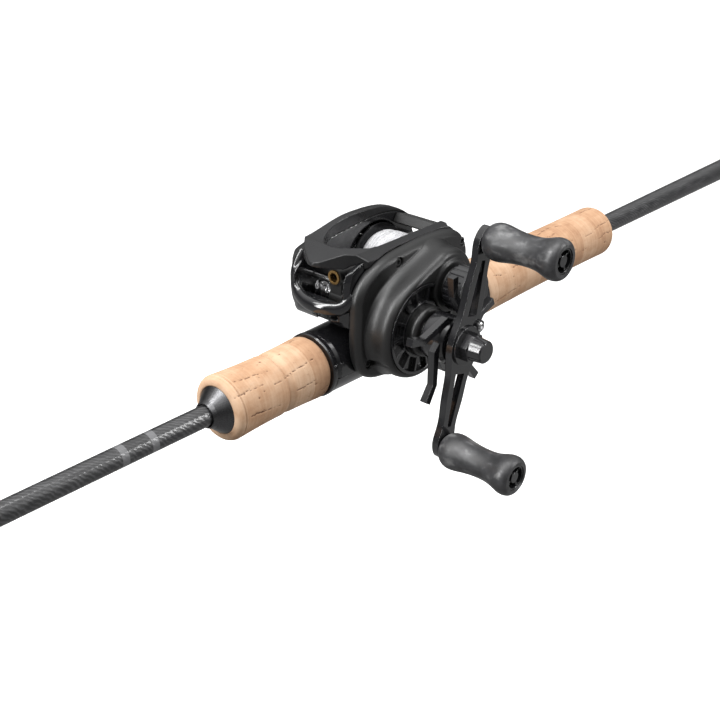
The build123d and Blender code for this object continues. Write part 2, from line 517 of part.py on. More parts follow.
def spoke_ring():
    """The dished ring of spokes let into the gear case round the drive shaft's boss."""
    floor = -CASE_Y + RING_DEPTH
    body = ring_y(HANDLE_X, HANDLE_Z, RING_R - 1.3, RING_R, -CASE_Y - 0.3, floor)
    body += ring_y(HANDLE_X, HANDLE_Z, BOSS_R + 0.05, BOSS_R + 1.3, -CASE_Y - 0.1, floor)
    body += ring_y(HANDLE_X, HANDLE_Z, BOSS_R + 0.6, RING_R - 0.8, floor - 0.8, floor)
    for k in range(SPOKES):
        spoke = box_between((BOSS_R + 0.8, -CASE_Y, -0.6), (RING_R - 1.0, floor - 0.3, 0.6))
        body += Pos(HANDLE_X, 0, HANDLE_Z) * Rot(0, 360 / SPOKES * k, 0) * spoke
    return body - round_y(SPOOL_X, SPOOL_Z, CAP_BASE_R + 0.05, -45, -20)


def palm_plate():
    body = domed(SIDE, [(PLATE_Y, 0), (20.5, 0.9), (23.8, 3.0), (25.6, 6.2), (PALM_Y, 9.6)], 1)
    body -= domed(SIDE, [(PLATE_Y - 1, 1.8), (20.5, 2.7), (23.2, 5.2)], 1) & Pos(1.8, 0, 0) * nose_plan()
    body &= nose_plan()
    return body - round_y(SPOOL_X, SPOOL_Z, 9.3, 20, 30) - hood_path()


def brake_dial():
    """The magnetic brake's dial in the palm plate, with finger ribs."""
    body = round_y(SPOOL_X, SPOOL_Z, 9.1, 23.4, PALM_Y + 0.3)
    body += box_between((SPOOL_X - 8.2, PALM_Y + 0.2, SPOOL_Z - 1.1), (SPOOL_X + 8.2, PALM_Y + 1.5, SPOOL_Z + 1.1))
    return body


def brake_ring():
    """The brake's magnet carrier, between the spool and the dial."""
    body = ring_y(SPOOL_X, SPOOL_Z, 5.2, 9.0, 19.6, 22.9)
    for k in range(8):
        body -= Pos(SPOOL_X, 0, SPOOL_Z) * Rot(0, 45 * k, 0) * round_y(7.1, 0, 1.2, 19.0, 21.2)
    return body


# ---- reel: spool and gears -------------------------------------------------------------------------------
def spool():
    h, t = SPOOL_HALF, FLANGE
    points = [(SHAFT_R, -3.5), (4.0, -3.5), (4.0, -1.2), (ARBOR_R - 1.2, -1.2), (ARBOR_R - 1.2, -h + 1.0),
              (SPOOL_R - 0.9, -h), (SPOOL_R, -h + 0.5), (SPOOL_R, -h + 1.3), (ARBOR_R, -h + t), (ARBOR_R, h - t),
              (SPOOL_R, h - 1.3), (SPOOL_R, h - 0.5), (SPOOL_R - 0.9, h), (ARBOR_R - 1.2, h - 1.0),
              (ARBOR_R - 1.2, 1.2), (4.0, 1.2), (4.0, 3.5), (SHAFT_R, 3.5)]
    return turned_y(SPOOL_X, SPOOL_Z, points)


def line_pack():
    h = SPOOL_HALF - FLANGE
    return turned_y(SPOOL_X, SPOOL_Z, [(ARBOR_R, -h + 0.02), (LINE_R - 0.6, -h - 0.45), (LINE_R, -h + 1.5),
                                       (LINE_R, h - 1.5),
                                       (LINE_R - 0.6, h + 0.45), (ARBOR_R, h - 0.02)])


def spool_shaft():
    return turned_y(SPOOL_X, SPOOL_Z, [(0, -37.5), (SHAFT_R - 0.5, -37.5), (SHAFT_R, -36.8), (SHAFT_R, 18.4),
                                       (SHAFT_R - 0.5, 19.0), (0, 19.0)])


def ball_bearing(x, z, y0, y1, r_in, r_out):
    """A shielded bearing: rings and shields in one solid, with a groove on each face."""
    body = ring_y(x, z, r_in, r_out, y0, y1)
    middle, width = (r_in + r_out) / 2, (r_out - r_in) / 2
    for face in (y0, y1):
        body -= ring_y(x, z, middle - width * 0.55, middle + width * 0.55, face - 0.25, face + 0.25)
    return body


def pinion():
    """The pinion: teeth at the drive gear, a groove for the yoke and a bore that runs on the spool shaft."""
    turn = SPOOL_ANGLE + math.pi + math.pi / PINION_TEETH
    body = Pos(SPOOL_X, 0, SPOOL_Z) * gear(PINION_TEETH, GEAR_MODULE, turn, -26.4, -20.6, SHAFT_R + SLIP)
    body += ring_y(SPOOL_X, SPOOL_Z, SHAFT_R + SLIP, 2.45, -20.7, -17.6)
    return body + ring_y(SPOOL_X, SPOOL_Z, SHAFT_R + SLIP, 3.6, -17.7, -16.6)


def at_spool(shape):
    """Places the clutch's parts at the spool axis, with the posts at right angles to the line of the gears."""
    return Pos(SPOOL_X, 0, SPOOL_Z) * Rot(0, 90 - math.degrees(SPOOL_ANGLE), 0) * shape


def clutch_yoke():
    """The plate that shifts the pinion, with a hole for a post at each end."""
    plate = SlotOverall(2 * POST_REACH + 4, 4) + Rectangle(7, 7.4)
    body = slab(plate, -19.6, -18.2) - round_y(0, 0, 2.5, -22, -15)
    for side in (-1, 1):
        body -= round_y(side * POST_REACH, 0, POST_R + 0.05, -22, -15)
    return at_spool(body)


def yoke_springs():
    """Two small coil springs on the posts, pressing on the yoke, each as a stack of joined turns."""
    springs = []
    for side in (-1, 1):
        body = ring_y(side * POST_REACH, 0, 1.05, 1.25, -26.9, -19.7)
        for turn in range(7):
            body += Pos(side * POST_REACH, -20.2 - 1.0 * turn, 0) * Rot(90, 0, 0) * Torus(1.3, 0.22)
        springs.append(at_spool(body))
    return springs


def drive_shaft():
    return turned_y(HANDLE_X, HANDLE_Z, [(0, -15.2), (2.2, -15.2), (2.2, -16.4), (DRIVE_R, -16.4),
                                         (DRIVE_R, -50.8), (2.4, -50.8),
                                         (2.4, -58.6), (0, -58.6)])


def drive_gear():
    body = Pos(HANDLE_X, 0, HANDLE_Z) * gear(DRIVE_TEETH, GEAR_MODULE, SPOOL_ANGLE, -24.8, -22.0, DRIVE_R)
    for k in range(6):
        hole = Rot(0, 60 * k, 0) * round_y(14.6, 0, 2.6, -30, -15)
        body -= Pos(HANDLE_X, 0, HANDLE_Z) * hole
    return body


def drag_washers():
    return [ring_y(HANDLE_X, HANDLE_Z, DRIVE_R, 10.4 - 0.3 * k, -25.4 - 0.6 * k, -24.85 - 0.6 * k)
            for k in range(3)]


def cogs():
    """The level-wind train: a cog on the drive shaft, an idler and the worm's cog, in mesh at rest."""
    idler_turn = WORM_ANGLE + math.pi + math.pi / IDLER_COG
    steps = round((WORM_ANGLE - idler_turn) / (2 * math.pi / IDLER_COG))
    worm_side = idler_turn + steps * 2 * math.pi / IDLER_COG       # the idler tooth nearest the worm's side
    offset_angle = WORM_ANGLE - worm_side
    worm_turn = WORM_ANGLE + math.pi + math.pi / WORM_COG + offset_angle * IDLER_COG / WORM_COG
    first = Pos(HANDLE_X, 0, HANDLE_Z) * gear(DRIVE_COG, COG_MODULE, WORM_ANGLE, -18.4, -16.6, DRIVE_R)
    second = Pos(IDLER_X, 0, IDLER_Z) * gear(IDLER_COG, COG_MODULE, idler_turn, -18.4, -16.6, 1.3)
    third = Pos(WORM_X, 0, WORM_Z) * gear(WORM_COG, COG_MODULE, worm_turn, -18.4, -16.6, 1.8)
    return first, second, third


def cast_control_cap():
    body = round_y(SPOOL_X, SPOOL_Z, CAP_R, -CAP_Y, -34.4)
    body -= round_y(SPOOL_X, SPOOL_Z, CAP_SEAT_R + 0.3, -41.5, -30)
    for k in range(20):
        groove = Rot(0, 18 * k, 0) * round_y(CAP_R + 0.35, 0, 0.75, -CAP_Y + 1.6, -30)
        body -= Pos(SPOOL_X, 0, SPOOL_Z) * groove
    return body


# ---- reel: handle ----------------------------------------------------------------------------------------
def star_arm():
    """One hooked arm of the star: a strip that leaves the hub sideways and ends in a finger tip."""
    middle = [polar(9.0, -62), polar(11.6, -48), polar(14.6, -18), polar(20.2, -1), polar(STAR_R, 0)]
    widths = [1.6, 1.7, 1.5, 1.4, 1.7]
    left, right = [], []
    for i, (x, z) in enumerate(middle):
        before, after = middle[max(i - 1, 0)], middle[min(i + 1, len(middle) - 1)]
        size = math.hypot(after[0] - before[0], after[1] - before[1])
        nx, nz = (before[1] - after[1]) / size, (after[0] - before[0]) / size
        left.append((x + nx * widths[i], z + nz * widths[i]))
        right.append((x - nx * widths[i], z - nz * widths[i]))
    return slab(make_face(Polyline(*left, *reversed(right), close=True)), -STAR_Y - 3.2, -STAR_Y)


def star_drag():
    """The star: a threaded hub with five hooked arms."""
    body = turned_y(0, 0, [(DRIVE_R + 0.05, -38.2), (9.6, -38.2), (10.2, -38.8), (10.2, -STAR_Y - 2.4),
                           (9.0, -STAR_Y - 4.0), (DRIVE_R + 0.05, -STAR_Y - 4.0)])
    for k in range(STAR_ARMS):
        body += Rot(0, -(STAR_PHASE + 72 * k), 0) * star_arm()
    body -= round_y(0, 0, 7.2, -40.4, -38)
    return Pos(HANDLE_X, 0, HANDLE_Z) * (body - round_y(0, 0, DRIVE_R + 0.05, -60, -30))


def drag_springs():
    return [ring_y(HANDLE_X, HANDLE_Z, DRIVE_R, 6.2 - 0.5 * k, -38.6 - 0.7 * k, -38.0 - 0.7 * k) for k in range(2)]


def at_crank(shape):
    """From the crank's own frame, where the arm runs along Z through the handle axis."""
    return Pos(HANDLE_X, 0, HANDLE_Z) * Rot(0, CRANK_LEAN, 0) * shape


def crank_arm():
    """The crank arm: an eye in the middle and an open slot in each half."""
    half = [(9.2, 0), (6.4, 13), (5.6, 24), (4.5, 36), (5.0, CRANK_R), (0, CRANK_R + 5.2), (-5.0, CRANK_R),
            (-4.5, 36),
            (-5.6, 24), (-6.4, 13)]
    outline = smooth(half + [(-x, -z) for x, z in half])
    body = slab(outline, -ARM_Y - ARM_THICK, -ARM_Y)
    for side in (-1, 1):
        slot = make_face(Polyline((-2.9, side * 12.5), (2.9, side * 12.5), (1.2, side * 36), (-1.2, side * 36),
                                  close=True))
        body -= slab(slot, -60, -40)
        body -= round_y(0, side * CRANK_R, 2.4, -60, -40)
    body += round_y(*KEEPER_SCREW, 2.7, -ARM_Y - ARM_THICK, -ARM_Y)
    body -= round_y(*KEEPER_SCREW, 1.0, -60, -40)
    return at_crank(body - round_y(0, 0, 2.4, -60, -40))


def handle_nut():
    outer = -ARM_Y - ARM_THICK - 1.0
    body = slab(RegularPolygon(6.4, 6), outer - 3.6, outer)
    body += turned_y(0, 0, [(0, outer - 3.5), (5.4, outer - 3.5), (4.9, outer - 9.0), (4.4, outer - 9.6),
                            (0, outer - 9.6)])
    return at_crank(body - round_y(0, 0, 2.4, outer - 3.0, outer + 1))


def nut_retainer():
    """The keeper plate round the nut, held to the arm by one screw."""
    outer = -ARM_Y - ARM_THICK
    x, z = KEEPER_SCREW
    plate = Circle(8.6) + Pos(x, z) * Circle(2.7)
    body = slab(plate, outer - 1.0, outer) - round_y(0, 0, 2.4, -70, -40)
    return at_crank(body - round_y(x, z, 1.0, -70, -40))


def retainer_screw():
    outer = -ARM_Y - ARM_THICK - 1.0
    x, z = KEEPER_SCREW
    head = turned_y(x, z, [(0, outer - 0.9), (1.5, outer - 0.9), (2.1, outer - 0.4), (2.1, outer), (1.0, outer),
                           (1.0, outer + 3.4), (0, outer + 3.4)])
    return at_crank(head - slab(Pos(x, z) * RegularPolygon(1.1, 6), outer - 2, outer - 0.3))


def knob_place(side, shape):
    return at_crank(Pos(0, 0, side * CRANK_R) * shape)


def knob_spindle():
    end = -KNOB_Y - KNOB_LENGTH + 6.4
    return turned_y(0, 0, [(0, -ARM_Y), (2.4, -ARM_Y), (2.4, -KNOB_Y + 0.25), (3.4, -KNOB_Y + 0.25),
                           (3.4, -KNOB_Y - 0.4), (2.0, -KNOB_Y - 0.4), (2.0, end), (0, end)])


def knob_bearing(y):
    return ball_bearing(0, 0, y - 2.2, y, 2.0, 4.0)


def knob():
    """A soft grip knob, waisted, on two bearings."""
    y0, y1 = -KNOB_Y - 0.1, -KNOB_Y - KNOB_LENGTH
    side = Spline((5.4, y0), (7.6, y0 - 3.2), (7.2, y0 - 11), (KNOB_WAIST, y0 - 19), (7.2, y0 - 27),
                  (KNOB_R, y1 + 3.2), (7.6, y1 + 0.5), (6.8, y1))
    shape = make_face([Line((0, y0), (5.4, y0)), side, Line((6.8, y1), (0, y1)), Line((0, y1), (0, y0))])
    body = revolve(shape, Axis.Y, 360)
    body -= round_y(0, 0, 4.0 + SLIP, y0 - 3.0, y0 + 1)
    body -= round_y(0, 0, 3.6, y1 + 4.0, y0 + 1)
    body -= round_y(0, 0, 4.0 + SLIP, y1 + 4.0, y1 + 9.2)
    return body - round_y(0, 0, 5.4, y1 - 1, y1 + 4.4)


def knob_cap():
    """The cap in the knob's outer end: a cup with a boss and four ribs."""
    y1 = -KNOB_Y - KNOB_LENGTH
    body = ring_y(0, 0, 4.6, 5.4, y1 + 0.4, y1 + 4.2) + round_y(0, 0, 5.0, y1 + 3.2, y1 + 4.2)
    body += round_y(0, 0, 2.4, y1 + 0.7, y1 + 4.2)
    for k in range(4):
        body += Rot(0, 45 + 90 * k, 0) * box_between((2.0, y1 + 1.4, -0.5), (4.9, y1 + 4.0, 0.5))
    return body


# ---- reel: level wind and clutch -------------------------------------------------------------------------
def worm_shaft():
    """The level-wind worm, with the crossing groove left off, and its journals in the frame."""
    return turned_y(WORM_X, WORM_Z, [(0, -18.5), (1.8, -18.5), (1.8, -14.6), (2.9, -14.6), (2.9, -12.6),
                                     (2.4, -12.6),
                                     (2.4, 12.6), (2.9, 12.6), (2.9, 14.4), (0, 14.4)])


def line_guide():
    """The carriage: an eye tube over a block that rides on the worm and the guide bar."""
    front, back = WORM_X - 4.6, WORM_X + 7.4
    tube = Pos((front + back) / 2, GUIDE_Y, EYE_Z) * Rot(0, 90, 0) * Cylinder(EYE_R, back - front)
    neck = box_between((BAR_X - 2.4, GUIDE_Y - 3.2, WORM_Z), (WORM_X + 3.4, GUIDE_Y + 3.2, EYE_Z))
    sleeve = round_y(WORM_X, WORM_Z, 4.3, GUIDE_Y - 3.6, GUIDE_Y + 3.6)
    body = tube + neck + sleeve + Pos(WORM_X, GUIDE_Y, WORM_Z - 4.4) * Cylinder(2.2, 2.2)
    body -= Pos(WORM_X, GUIDE_Y, EYE_Z) * Rot(0, 90, 0) * Cylinder(EYE_BORE, 40)
    body -= round_y(WORM_X, WORM_Z, 2.4 + 0.08, -20, 20)
    body -= round_y(BAR_X, BAR_Z, BAR_R + 0.06, -20, 20)
    return body


def guide_inserts():
    """The two hard rings in the eye's ends."""
    rings = []
    for x, side in ((WORM_X - 4.6, -1), (WORM_X + 7.4, 1)):
        outer = Pos(x + side * 0.35, GUIDE_Y, EYE_Z) * Rot(0, 90, 0) * Cylinder(EYE_BORE + 0.6, 0.7)
        rings.append(outer - Pos(x, GUIDE_Y, EYE_Z) * Rot(0, 90, 0) * Cylinder(EYE_BORE - 0.5, 10)
                     + (Pos(x - side * 0.8, GUIDE_Y, EYE_Z) * Rot(0, 90, 0) * (Cylinder(EYE_BORE, 1.6) - Cylinder(EYE_BORE - 0.5, 4))))
    return rings


def guide_bar():
    return round_y(BAR_X, BAR_Z, BAR_R, -FRAME_OUT + 0.1, FRAME_OUT - 0.1)


def thumb_bar():
    face = make_face(Polyline((8.2, 44.0), (10.2, 47.4), (16.8, 45.6), (20.2, 41.2), (18.4, 38.6), (13.0, 41.2),
                              close=True))
    body = slab(face, -FRAME_IN + 0.3, FRAME_IN - 0.3)
    return body + box_between((TANG_LOW[0], -17.0, TANG_LOW[1]), (TANG_HIGH[0], -FRAME_IN + 1, TANG_HIGH[1]))


def plate_screws():
    screws = []
    for x, z in SCREWS:
        y = -BASE_Y + 2.2
        screw = turned_y(x, z, [(0, y - 1.5), (SCREW_R - 0.3, y - 1.5), (SCREW_R, y - 1.2), (SCREW_R, y),
                                (1.25, y),
                                (1.25, -PLATE_Y), (0, -PLATE_Y)])
        screws.append(screw - slab(Pos(x, z) * RegularPolygon(1.1, 6), y - 3, y - 0.7))
    return screws


def write_rod():
    core = blank_core()
    fore, rear, butt = grips(core)
    write("butt_blank", butt_blank())
    write("tip_blank", tip_blank())
    write("butt_cap", butt_cap(core))
    write("butt_grip", butt)
    write("rear_grip", rear)
    write("rear_check", rear_check(core))
    write("reel_seat", reel_seat(core))
    write("sliding_hood", sliding_hood())
    write("lock_nut", lock_nut())
    write("foregrip", fore)
    write("winding_check", winding_check())
    guides = [line_guide_on_blank(*g) for g in zip(GUIDE_XS, GUIDE_RINGS, GUIDE_HEIGHTS)]
    write("stripper_frame", guides[0][0])
    write("stripper_ring", guides[0][1])
    write("thread_wraps_butt", *guides[0][2])
    write("guide_frames", *[g[0] for g in guides[1:]])
    write("guide_rings", *[g[1] for g in guides[1:]])
    write("thread_wraps_tip", *[w for g in guides[1:] for w in g[2]])
    frame, ring = tip_top()
    write("tip_top_frame", frame)
    write("tip_top_ring", ring)


def write_reel_body():
    write("frame", reel_frame())
    write("reel_foot", reel_foot())
    write("front_hood", front_hood())
    write("gear_case", gear_case())
    write("spoke_ring", spoke_ring())
    write("palm_plate", palm_plate())
    write("brake_dial", brake_dial())
    write("brake_ring", brake_ring())
    write("plate_screws", *plate_screws())
    write("spool", spool())
    write("line_pack", line_pack())
    write("spool_shaft", spool_shaft())
    write("spool_bearings", ball_bearing(SPOOL_X, SPOOL_Z, -34.0, -31.0, SHAFT_R + SLIP, 4.5),
          ball_bearing(SPOOL_X, SPOOL_Z, 15.4, 18.2, SHAFT_R + SLIP, 4.5))
    write("cast_control_cap", cast_control_cap())
    write("thumb_bar", thumb_bar())


def write_drive():
    first, second, third = cogs()
    write("pinion_gear", pinion())
    write("clutch_yoke", clutch_yoke())
    write("yoke_springs", *yoke_springs())
    write("drive_shaft", drive_shaft())
    write("drive_gear", drive_gear())
    write("drag_washers", *drag_washers())
    write("one_way_bearing", ball_bearing(HANDLE_X, HANDLE_Z, -36.2, -29.0, DRIVE_R + SLIP, 7.0))
    write("drive_cog", first)
    write("idler_cog", second)
    write("worm_cog", third)
    write("worm_shaft", worm_shaft())
    write("line_guide", line_guide())
    write("guide_inserts", *guide_inserts())
    write("guide_bar", guide_bar())


def write_handle():
    write("star_drag", star_drag())
    write("drag_springs", *drag_springs())
    write("crank_arm", crank_arm())
    write("handle_nut", handle_nut())
    write("nut_retainer", nut_retainer())
    write("retainer_screw", retainer_screw())
    write("knob_spindles", *[knob_place(side, knob_spindle()) for side in (1, -1)])
    bearing_ys = (-KNOB_Y - 0.8, -KNOB_Y - KNOB_LENGTH + 9.0)
    write("knob_bearings", *[knob_place(side, knob_bearing(y)) for side in (1, -1) for y in bearing_ys])
    for name, side in (("upper", 1), ("lower", -1)):
        write(f"knob_{name}", knob_place(side, knob()))
        write(f"knob_cap_{name}", knob_place(side, knob_cap()))


os.makedirs("parts", exist_ok=True)
write_rod()
write_reel_body()
write_drive()
write_handle()
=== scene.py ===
import bpy
import bmesh
import math
import numpy as np
from mathutils import Vector, Matrix


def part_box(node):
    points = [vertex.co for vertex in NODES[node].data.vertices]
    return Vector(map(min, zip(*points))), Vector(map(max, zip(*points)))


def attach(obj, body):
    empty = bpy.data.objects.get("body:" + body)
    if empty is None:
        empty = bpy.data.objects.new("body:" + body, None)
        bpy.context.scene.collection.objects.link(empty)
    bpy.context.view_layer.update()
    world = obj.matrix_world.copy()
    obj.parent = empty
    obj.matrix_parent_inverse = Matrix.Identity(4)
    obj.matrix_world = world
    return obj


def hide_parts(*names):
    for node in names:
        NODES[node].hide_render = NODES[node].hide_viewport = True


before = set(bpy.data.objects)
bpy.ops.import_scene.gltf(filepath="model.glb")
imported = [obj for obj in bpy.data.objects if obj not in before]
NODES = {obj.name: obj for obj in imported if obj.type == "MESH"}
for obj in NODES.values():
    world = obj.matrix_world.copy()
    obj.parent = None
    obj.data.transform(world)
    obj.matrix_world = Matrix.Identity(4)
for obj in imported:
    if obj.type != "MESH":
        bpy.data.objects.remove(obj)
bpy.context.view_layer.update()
SCENE = bpy.context.scene
STATION = 0.4            # the reel sits this far in front of the butt
MM = 0.001
TURN = 2 * math.pi
CORK_RING = 0.0127       # length of each cork ring that the grips are glued up from
BLANK_BANDS = (-0.546, -0.560)     # two narrow grey rings painted on the blank in front of the grip
BAND_HALF = 0.0016


# ---- node helpers ------------------------------------------------------------------------------------------
class Tree:
    """A small wrapper for one material's node tree."""

    def __init__(self, name, colour, rough, metal=0.0, coat=0.0, coat_rough=0.06, specular=0.5):
        self.mat = bpy.data.materials.new(name)
        self.mat.use_nodes = True
        self.t = self.mat.node_tree
        self.t.nodes.clear()
        self.out = self.t.nodes.new("ShaderNodeOutputMaterial")
        self.bsdf = self.t.nodes.new("ShaderNodeBsdfPrincipled")
        self.link(self.bsdf.outputs[0], self.out.inputs[0])
        self.bsdf.inputs["Base Color"].default_value = (*colour, 1)
        self.bsdf.inputs["Roughness"].default_value = rough
        self.bsdf.inputs["Metallic"].default_value = metal
        self.bsdf.inputs["Specular IOR Level"].default_value = specular
        self.bsdf.inputs["Coat Weight"].default_value = coat
        self.bsdf.inputs["Coat Roughness"].default_value = coat_rough
        self.place = self.t.nodes.new("ShaderNodeTexCoord").outputs["Object"]
        self.normal = None

    def link(self, a, b):
        self.t.links.new(a, b)

    def node(self, kind, **settings):
        n = self.t.nodes.new("ShaderNode" + kind)
        for k, v in settings.items():
            setattr(n, k, v)
        return n

    def mapped(self, scale, shift=(0, 0, 0)):
        n = self.node("Mapping")
        n.inputs["Scale"].default_value = scale
        n.inputs["Location"].default_value = shift
        self.link(self.place, n.inputs["Vector"])
        return n.outputs[0]

    def noise(self, scale, detail=3.0, rough=0.55, place=None, distortion=0.0):
        n = self.node("TexNoise")
        n.inputs["Scale"].default_value = scale
        n.inputs["Detail"].default_value = detail
        n.inputs["Roughness"].default_value = rough
        n.inputs["Distortion"].default_value = distortion
        self.link(place or self.place, n.inputs["Vector"])
        return n.outputs["Fac"]

    def math(self, operation, a, b=None, c=None):
        n = self.node("Math", operation=operation)
        for i, v in enumerate((a, b, c)):
            if v is None:
                continue
            if isinstance(v, (int, float)):
                n.inputs[i].default_value = v
            else:
                self.link(v, n.inputs[i])
        return n.outputs[0]

    def ranged(self, value, low, high, to_low, to_high, smooth=False):
        n = self.node("MapRange")
        if smooth:
            n.interpolation_type = "SMOOTHSTEP"
        for i, v in enumerate((low, high, to_low, to_high), 1):
            n.inputs[i].default_value = v
        self.link(value, n.inputs[0])
        return n.outputs[0]

    def ramp(self, value, stops):
        n = self.node("ValToRGB")
        ramp = n.color_ramp
        while len(ramp.elements) < len(stops):
            ramp.elements.new(0.5)
        for e, (at, colour) in zip(ramp.elements, stops):
            e.position = at
            e.color = (*colour, 1)
        self.link(value, n.inputs[0])
        return n.outputs[0]

    def mix(self, factor, a, b, kind="MIX"):
        n = self.node("Mix", data_type="RGBA", blend_type=kind)
        if isinstance(factor, (int, float)):
            n.inputs[0].default_value = factor
        else:
            self.link(factor, n.inputs[0])
        for socket, v in ((n.inputs[6], a), (n.inputs[7], b)):
            if isinstance(v, tuple):
                socket.default_value = (*v, 1)
            else:
                self.link(v, socket)
        return n.outputs[2]

    def colour(self, value):
        self.link(value, self.bsdf.inputs["Base Color"])

    def rough(self, value):
        self.link(value, self.bsdf.inputs["Roughness"])

    def bevel(self, radius):
        n = self.node("Bevel", samples=4)
        n.inputs["Radius"].default_value = radius
        self.normal = n.outputs[0]
        return self.normal

    def bump(self, height, distance, strength=1.0):
        n = self.node("Bump")
        n.inputs["Distance"].default_value = distance
        n.inputs["Strength"].default_value = strength
        self.link(height, n.inputs["Height"])
        if self.normal is not None:
            self.link(self.normal, n.inputs["Normal"])
        self.normal = n.outputs[0]

    def done(self):
        if self.normal is not None:
            self.link(self.normal, self.bsdf.inputs["Normal"])
            if self.bsdf.inputs["Coat Weight"].default_value > 0:
                self.link(self.normal, self.bsdf.inputs["Coat Normal"])
        return self.mat


def painted(name, dark, light, rough, spread=0.08, grain=2500, metal=0.0, coat=0.0, edge=0.0003, bump=0.00002,
            specular=0.5, coat_rough=0.06):
    """A painted or anodised surface: a fine grain, slow changes of gloss and softened edges."""
    t = Tree(name, dark, rough, metal, coat, coat_rough, specular)
    fine = t.noise(grain, 2.0)
    slow = t.noise(60, 3.0)
    both = t.math("MULTIPLY_ADD", fine, 0.6, t.math("MULTIPLY", slow, 0.4))
    t.colour(t.ramp(both, [(0.3, dark), (0.72, light)]))
    t.rough(t.ranged(slow, 0.3, 0.7, max(0.02, rough - spread), rough + spread))
    if edge:
        t.bevel(edge)
    if bump:
        t.bump(fine, bump)
    return t.done()


def metal(name, dark, light, rough, stretch=(1, 1, 1), edge=0.0002, bump=0.00001):
    """Turned or brushed metal: fine lines along the direction that is stretched least."""
    t = Tree(name, dark, rough, 1.0)
    lines = t.noise(1.0, 3.0, place=t.mapped(stretch))
    slow = t.noise(80, 2.0)
    t.colour(t.ramp(lines, [(0.3, dark), (0.7, light)]))
    t.rough(t.ranged(slow, 0.3, 0.7, max(0.03, rough - 0.06), rough + 0.08))
    if edge:
        t.bevel(edge)
    t.bump(lines, bump)
    return t.done()


# ---- finishes ----------------------------------------------------------------------------------------------
def cork():
    t = Tree("cork", (0.62, 0.39, 0.24), 0.78, specular=0.25)
    split = t.node("SeparateXYZ")
    t.link(t.place, split.inputs[0])
    rings = t.math("FLOOR", t.math("DIVIDE", split.outputs[0], CORK_RING))
    tone = t.node("TexWhiteNoise", noise_dimensions="1D")
    t.link(rings, tone.inputs["W"])
    slow = t.noise(1.0, 3.0, place=t.mapped((90, 160, 160)))
    grain = t.noise(1.0, 5.0, 0.65, place=t.mapped((2600, 900, 900)))
    layers = t.noise(1.0, 3.0, 0.6, place=t.mapped((900, 40, 40)))
    value = t.math("MULTIPLY_ADD", slow, 0.5, t.math("MULTIPLY", layers, 0.3))
    value = t.math("MULTIPLY_ADD", tone.outputs[0], 0.20, value)
    value = t.math("MULTIPLY_ADD", grain, 0.14, value)
    base = t.ramp(value, [(0.30, (0.28, 0.15, 0.085)), (0.50, (0.41, 0.245, 0.145)),
                          (0.72, (0.53, 0.36, 0.24))])
    specks = t.noise(1.0, 4.0, 0.7, place=t.mapped((420, 700, 700), (3, 1, 2)))
    base = t.mix(t.ranged(specks, 0.66, 0.74, 0.0, 0.75, True), base, (0.22, 0.11, 0.06))
    smudge = t.noise(1.0, 3.0, 0.6, place=t.mapped((110, 150, 150), (7, 3, 9)))
    base = t.mix(t.ranged(smudge, 0.62, 0.78, 0.0, 0.45, True), base, (0.42, 0.30, 0.21))
    # Painted shade: the cork goes towards near-black where the cracks and pits are deepest; the ring seams
    # only get a faint dark joint line.
    crack_shade_and_seam = t.node("Attribute", attribute_name="crack_shade_and_seam")
    base = t.mix(t.ranged(crack_shade_and_seam.outputs["Fac"], 0.12, 0.75, 0.0, 0.92), base, (0.085, 0.04, 0.022))
    t.colour(base)
    t.bump(grain, 0.00006, 0.8)
    t.bump(t.ranged(specks, 0.66, 0.74, 0.0, -1.0), 0.0001)
    return t.done()


def carbon():
    """A clear-coated carbon blank, wrapped with a diagonal tape; the brightest flecks in the weave are
    painted glints.
    """
    t = Tree("carbon_blank", (0.02, 0.02, 0.022), 0.38, 0.0, 0.6, 0.12)
    warp = t.noise(1.0, 4.0, 0.6, place=t.mapped((140, 420, 420)))
    tow = t.node("TexWave", wave_type="BANDS", bands_direction="DIAGONAL")
    tow.inputs["Scale"].default_value = 260
    tow.inputs["Distortion"].default_value = 6.0
    tow.inputs["Detail"].default_value = 2.0
    t.link(t.place, tow.inputs["Vector"])
    value = t.math("MULTIPLY_ADD", tow.outputs["Fac"], 0.35, t.math("MULTIPLY", warp, 0.65))
    # The two darker stops are the weave's own pattern; the top stop paints glints on the brightest flecks.
    base = t.ramp(value, [(0.38, (0.010, 0.010, 0.011)), (0.58, (0.024, 0.024, 0.025)),
                          (0.80, (0.06, 0.06, 0.063))])
    split = t.node("SeparateXYZ")
    t.link(t.place, split.inputs[0])
    for middle in BLANK_BANDS:
        band = t.math("COMPARE", split.outputs[0], middle, BAND_HALF)
        base = t.mix(t.math("MULTIPLY", band, 0.8), base, (0.13, 0.13, 0.135))
    t.colour(base)
    t.rough(t.ranged(warp, 0.3, 0.7, 0.28, 0.5))
    t.bump(value, 0.00006)
    return t.done()


def rubber_knob():
    """Dark grey moulded grip with soft lighter marbling."""
    t = Tree("grip_resin", (0.05, 0.05, 0.05), 0.42, 0, 0.15, 0.3)
    blotch = t.noise(1.0, 2.0, 0.5, place=t.mapped((240, 150, 240)), distortion=0.3)
    fine = t.noise(1500, 3.0)
    value = t.math("MULTIPLY_ADD", fine, 0.12, t.math("MULTIPLY", blotch, 0.88))
    t.colour(t.ramp(value, [(0.40, (0.016, 0.016, 0.017)), (0.56, (0.034, 0.034, 0.036)),
                            (0.72, (0.13, 0.13, 0.13))]))
    t.rough(t.ranged(blotch, 0.35, 0.65, 0.5, 0.36))
    t.bump(blotch, 0.00012)
    t.bump(fine, 0.00002)
    return t.done()


def thread():
    t = Tree("thread", (0.02, 0.02, 0.022), 0.25, 0.0, 1.0, 0.05)
    wave = t.node("TexWave", wave_type="BANDS", bands_direction="X")
    wave.inputs["Scale"].default_value = 1 / 0.00022 / 6.2832 * 2
    t.link(t.place, wave.inputs["Vector"])
    slow = t.noise(120, 2.0)
    t.colour(t.ramp(slow, [(0.3, (0.012, 0.012, 0.014)), (0.7, (0.03, 0.03, 0.034))]))
    t.bump(wave.outputs["Fac"], 0.00003)
    return t.done()


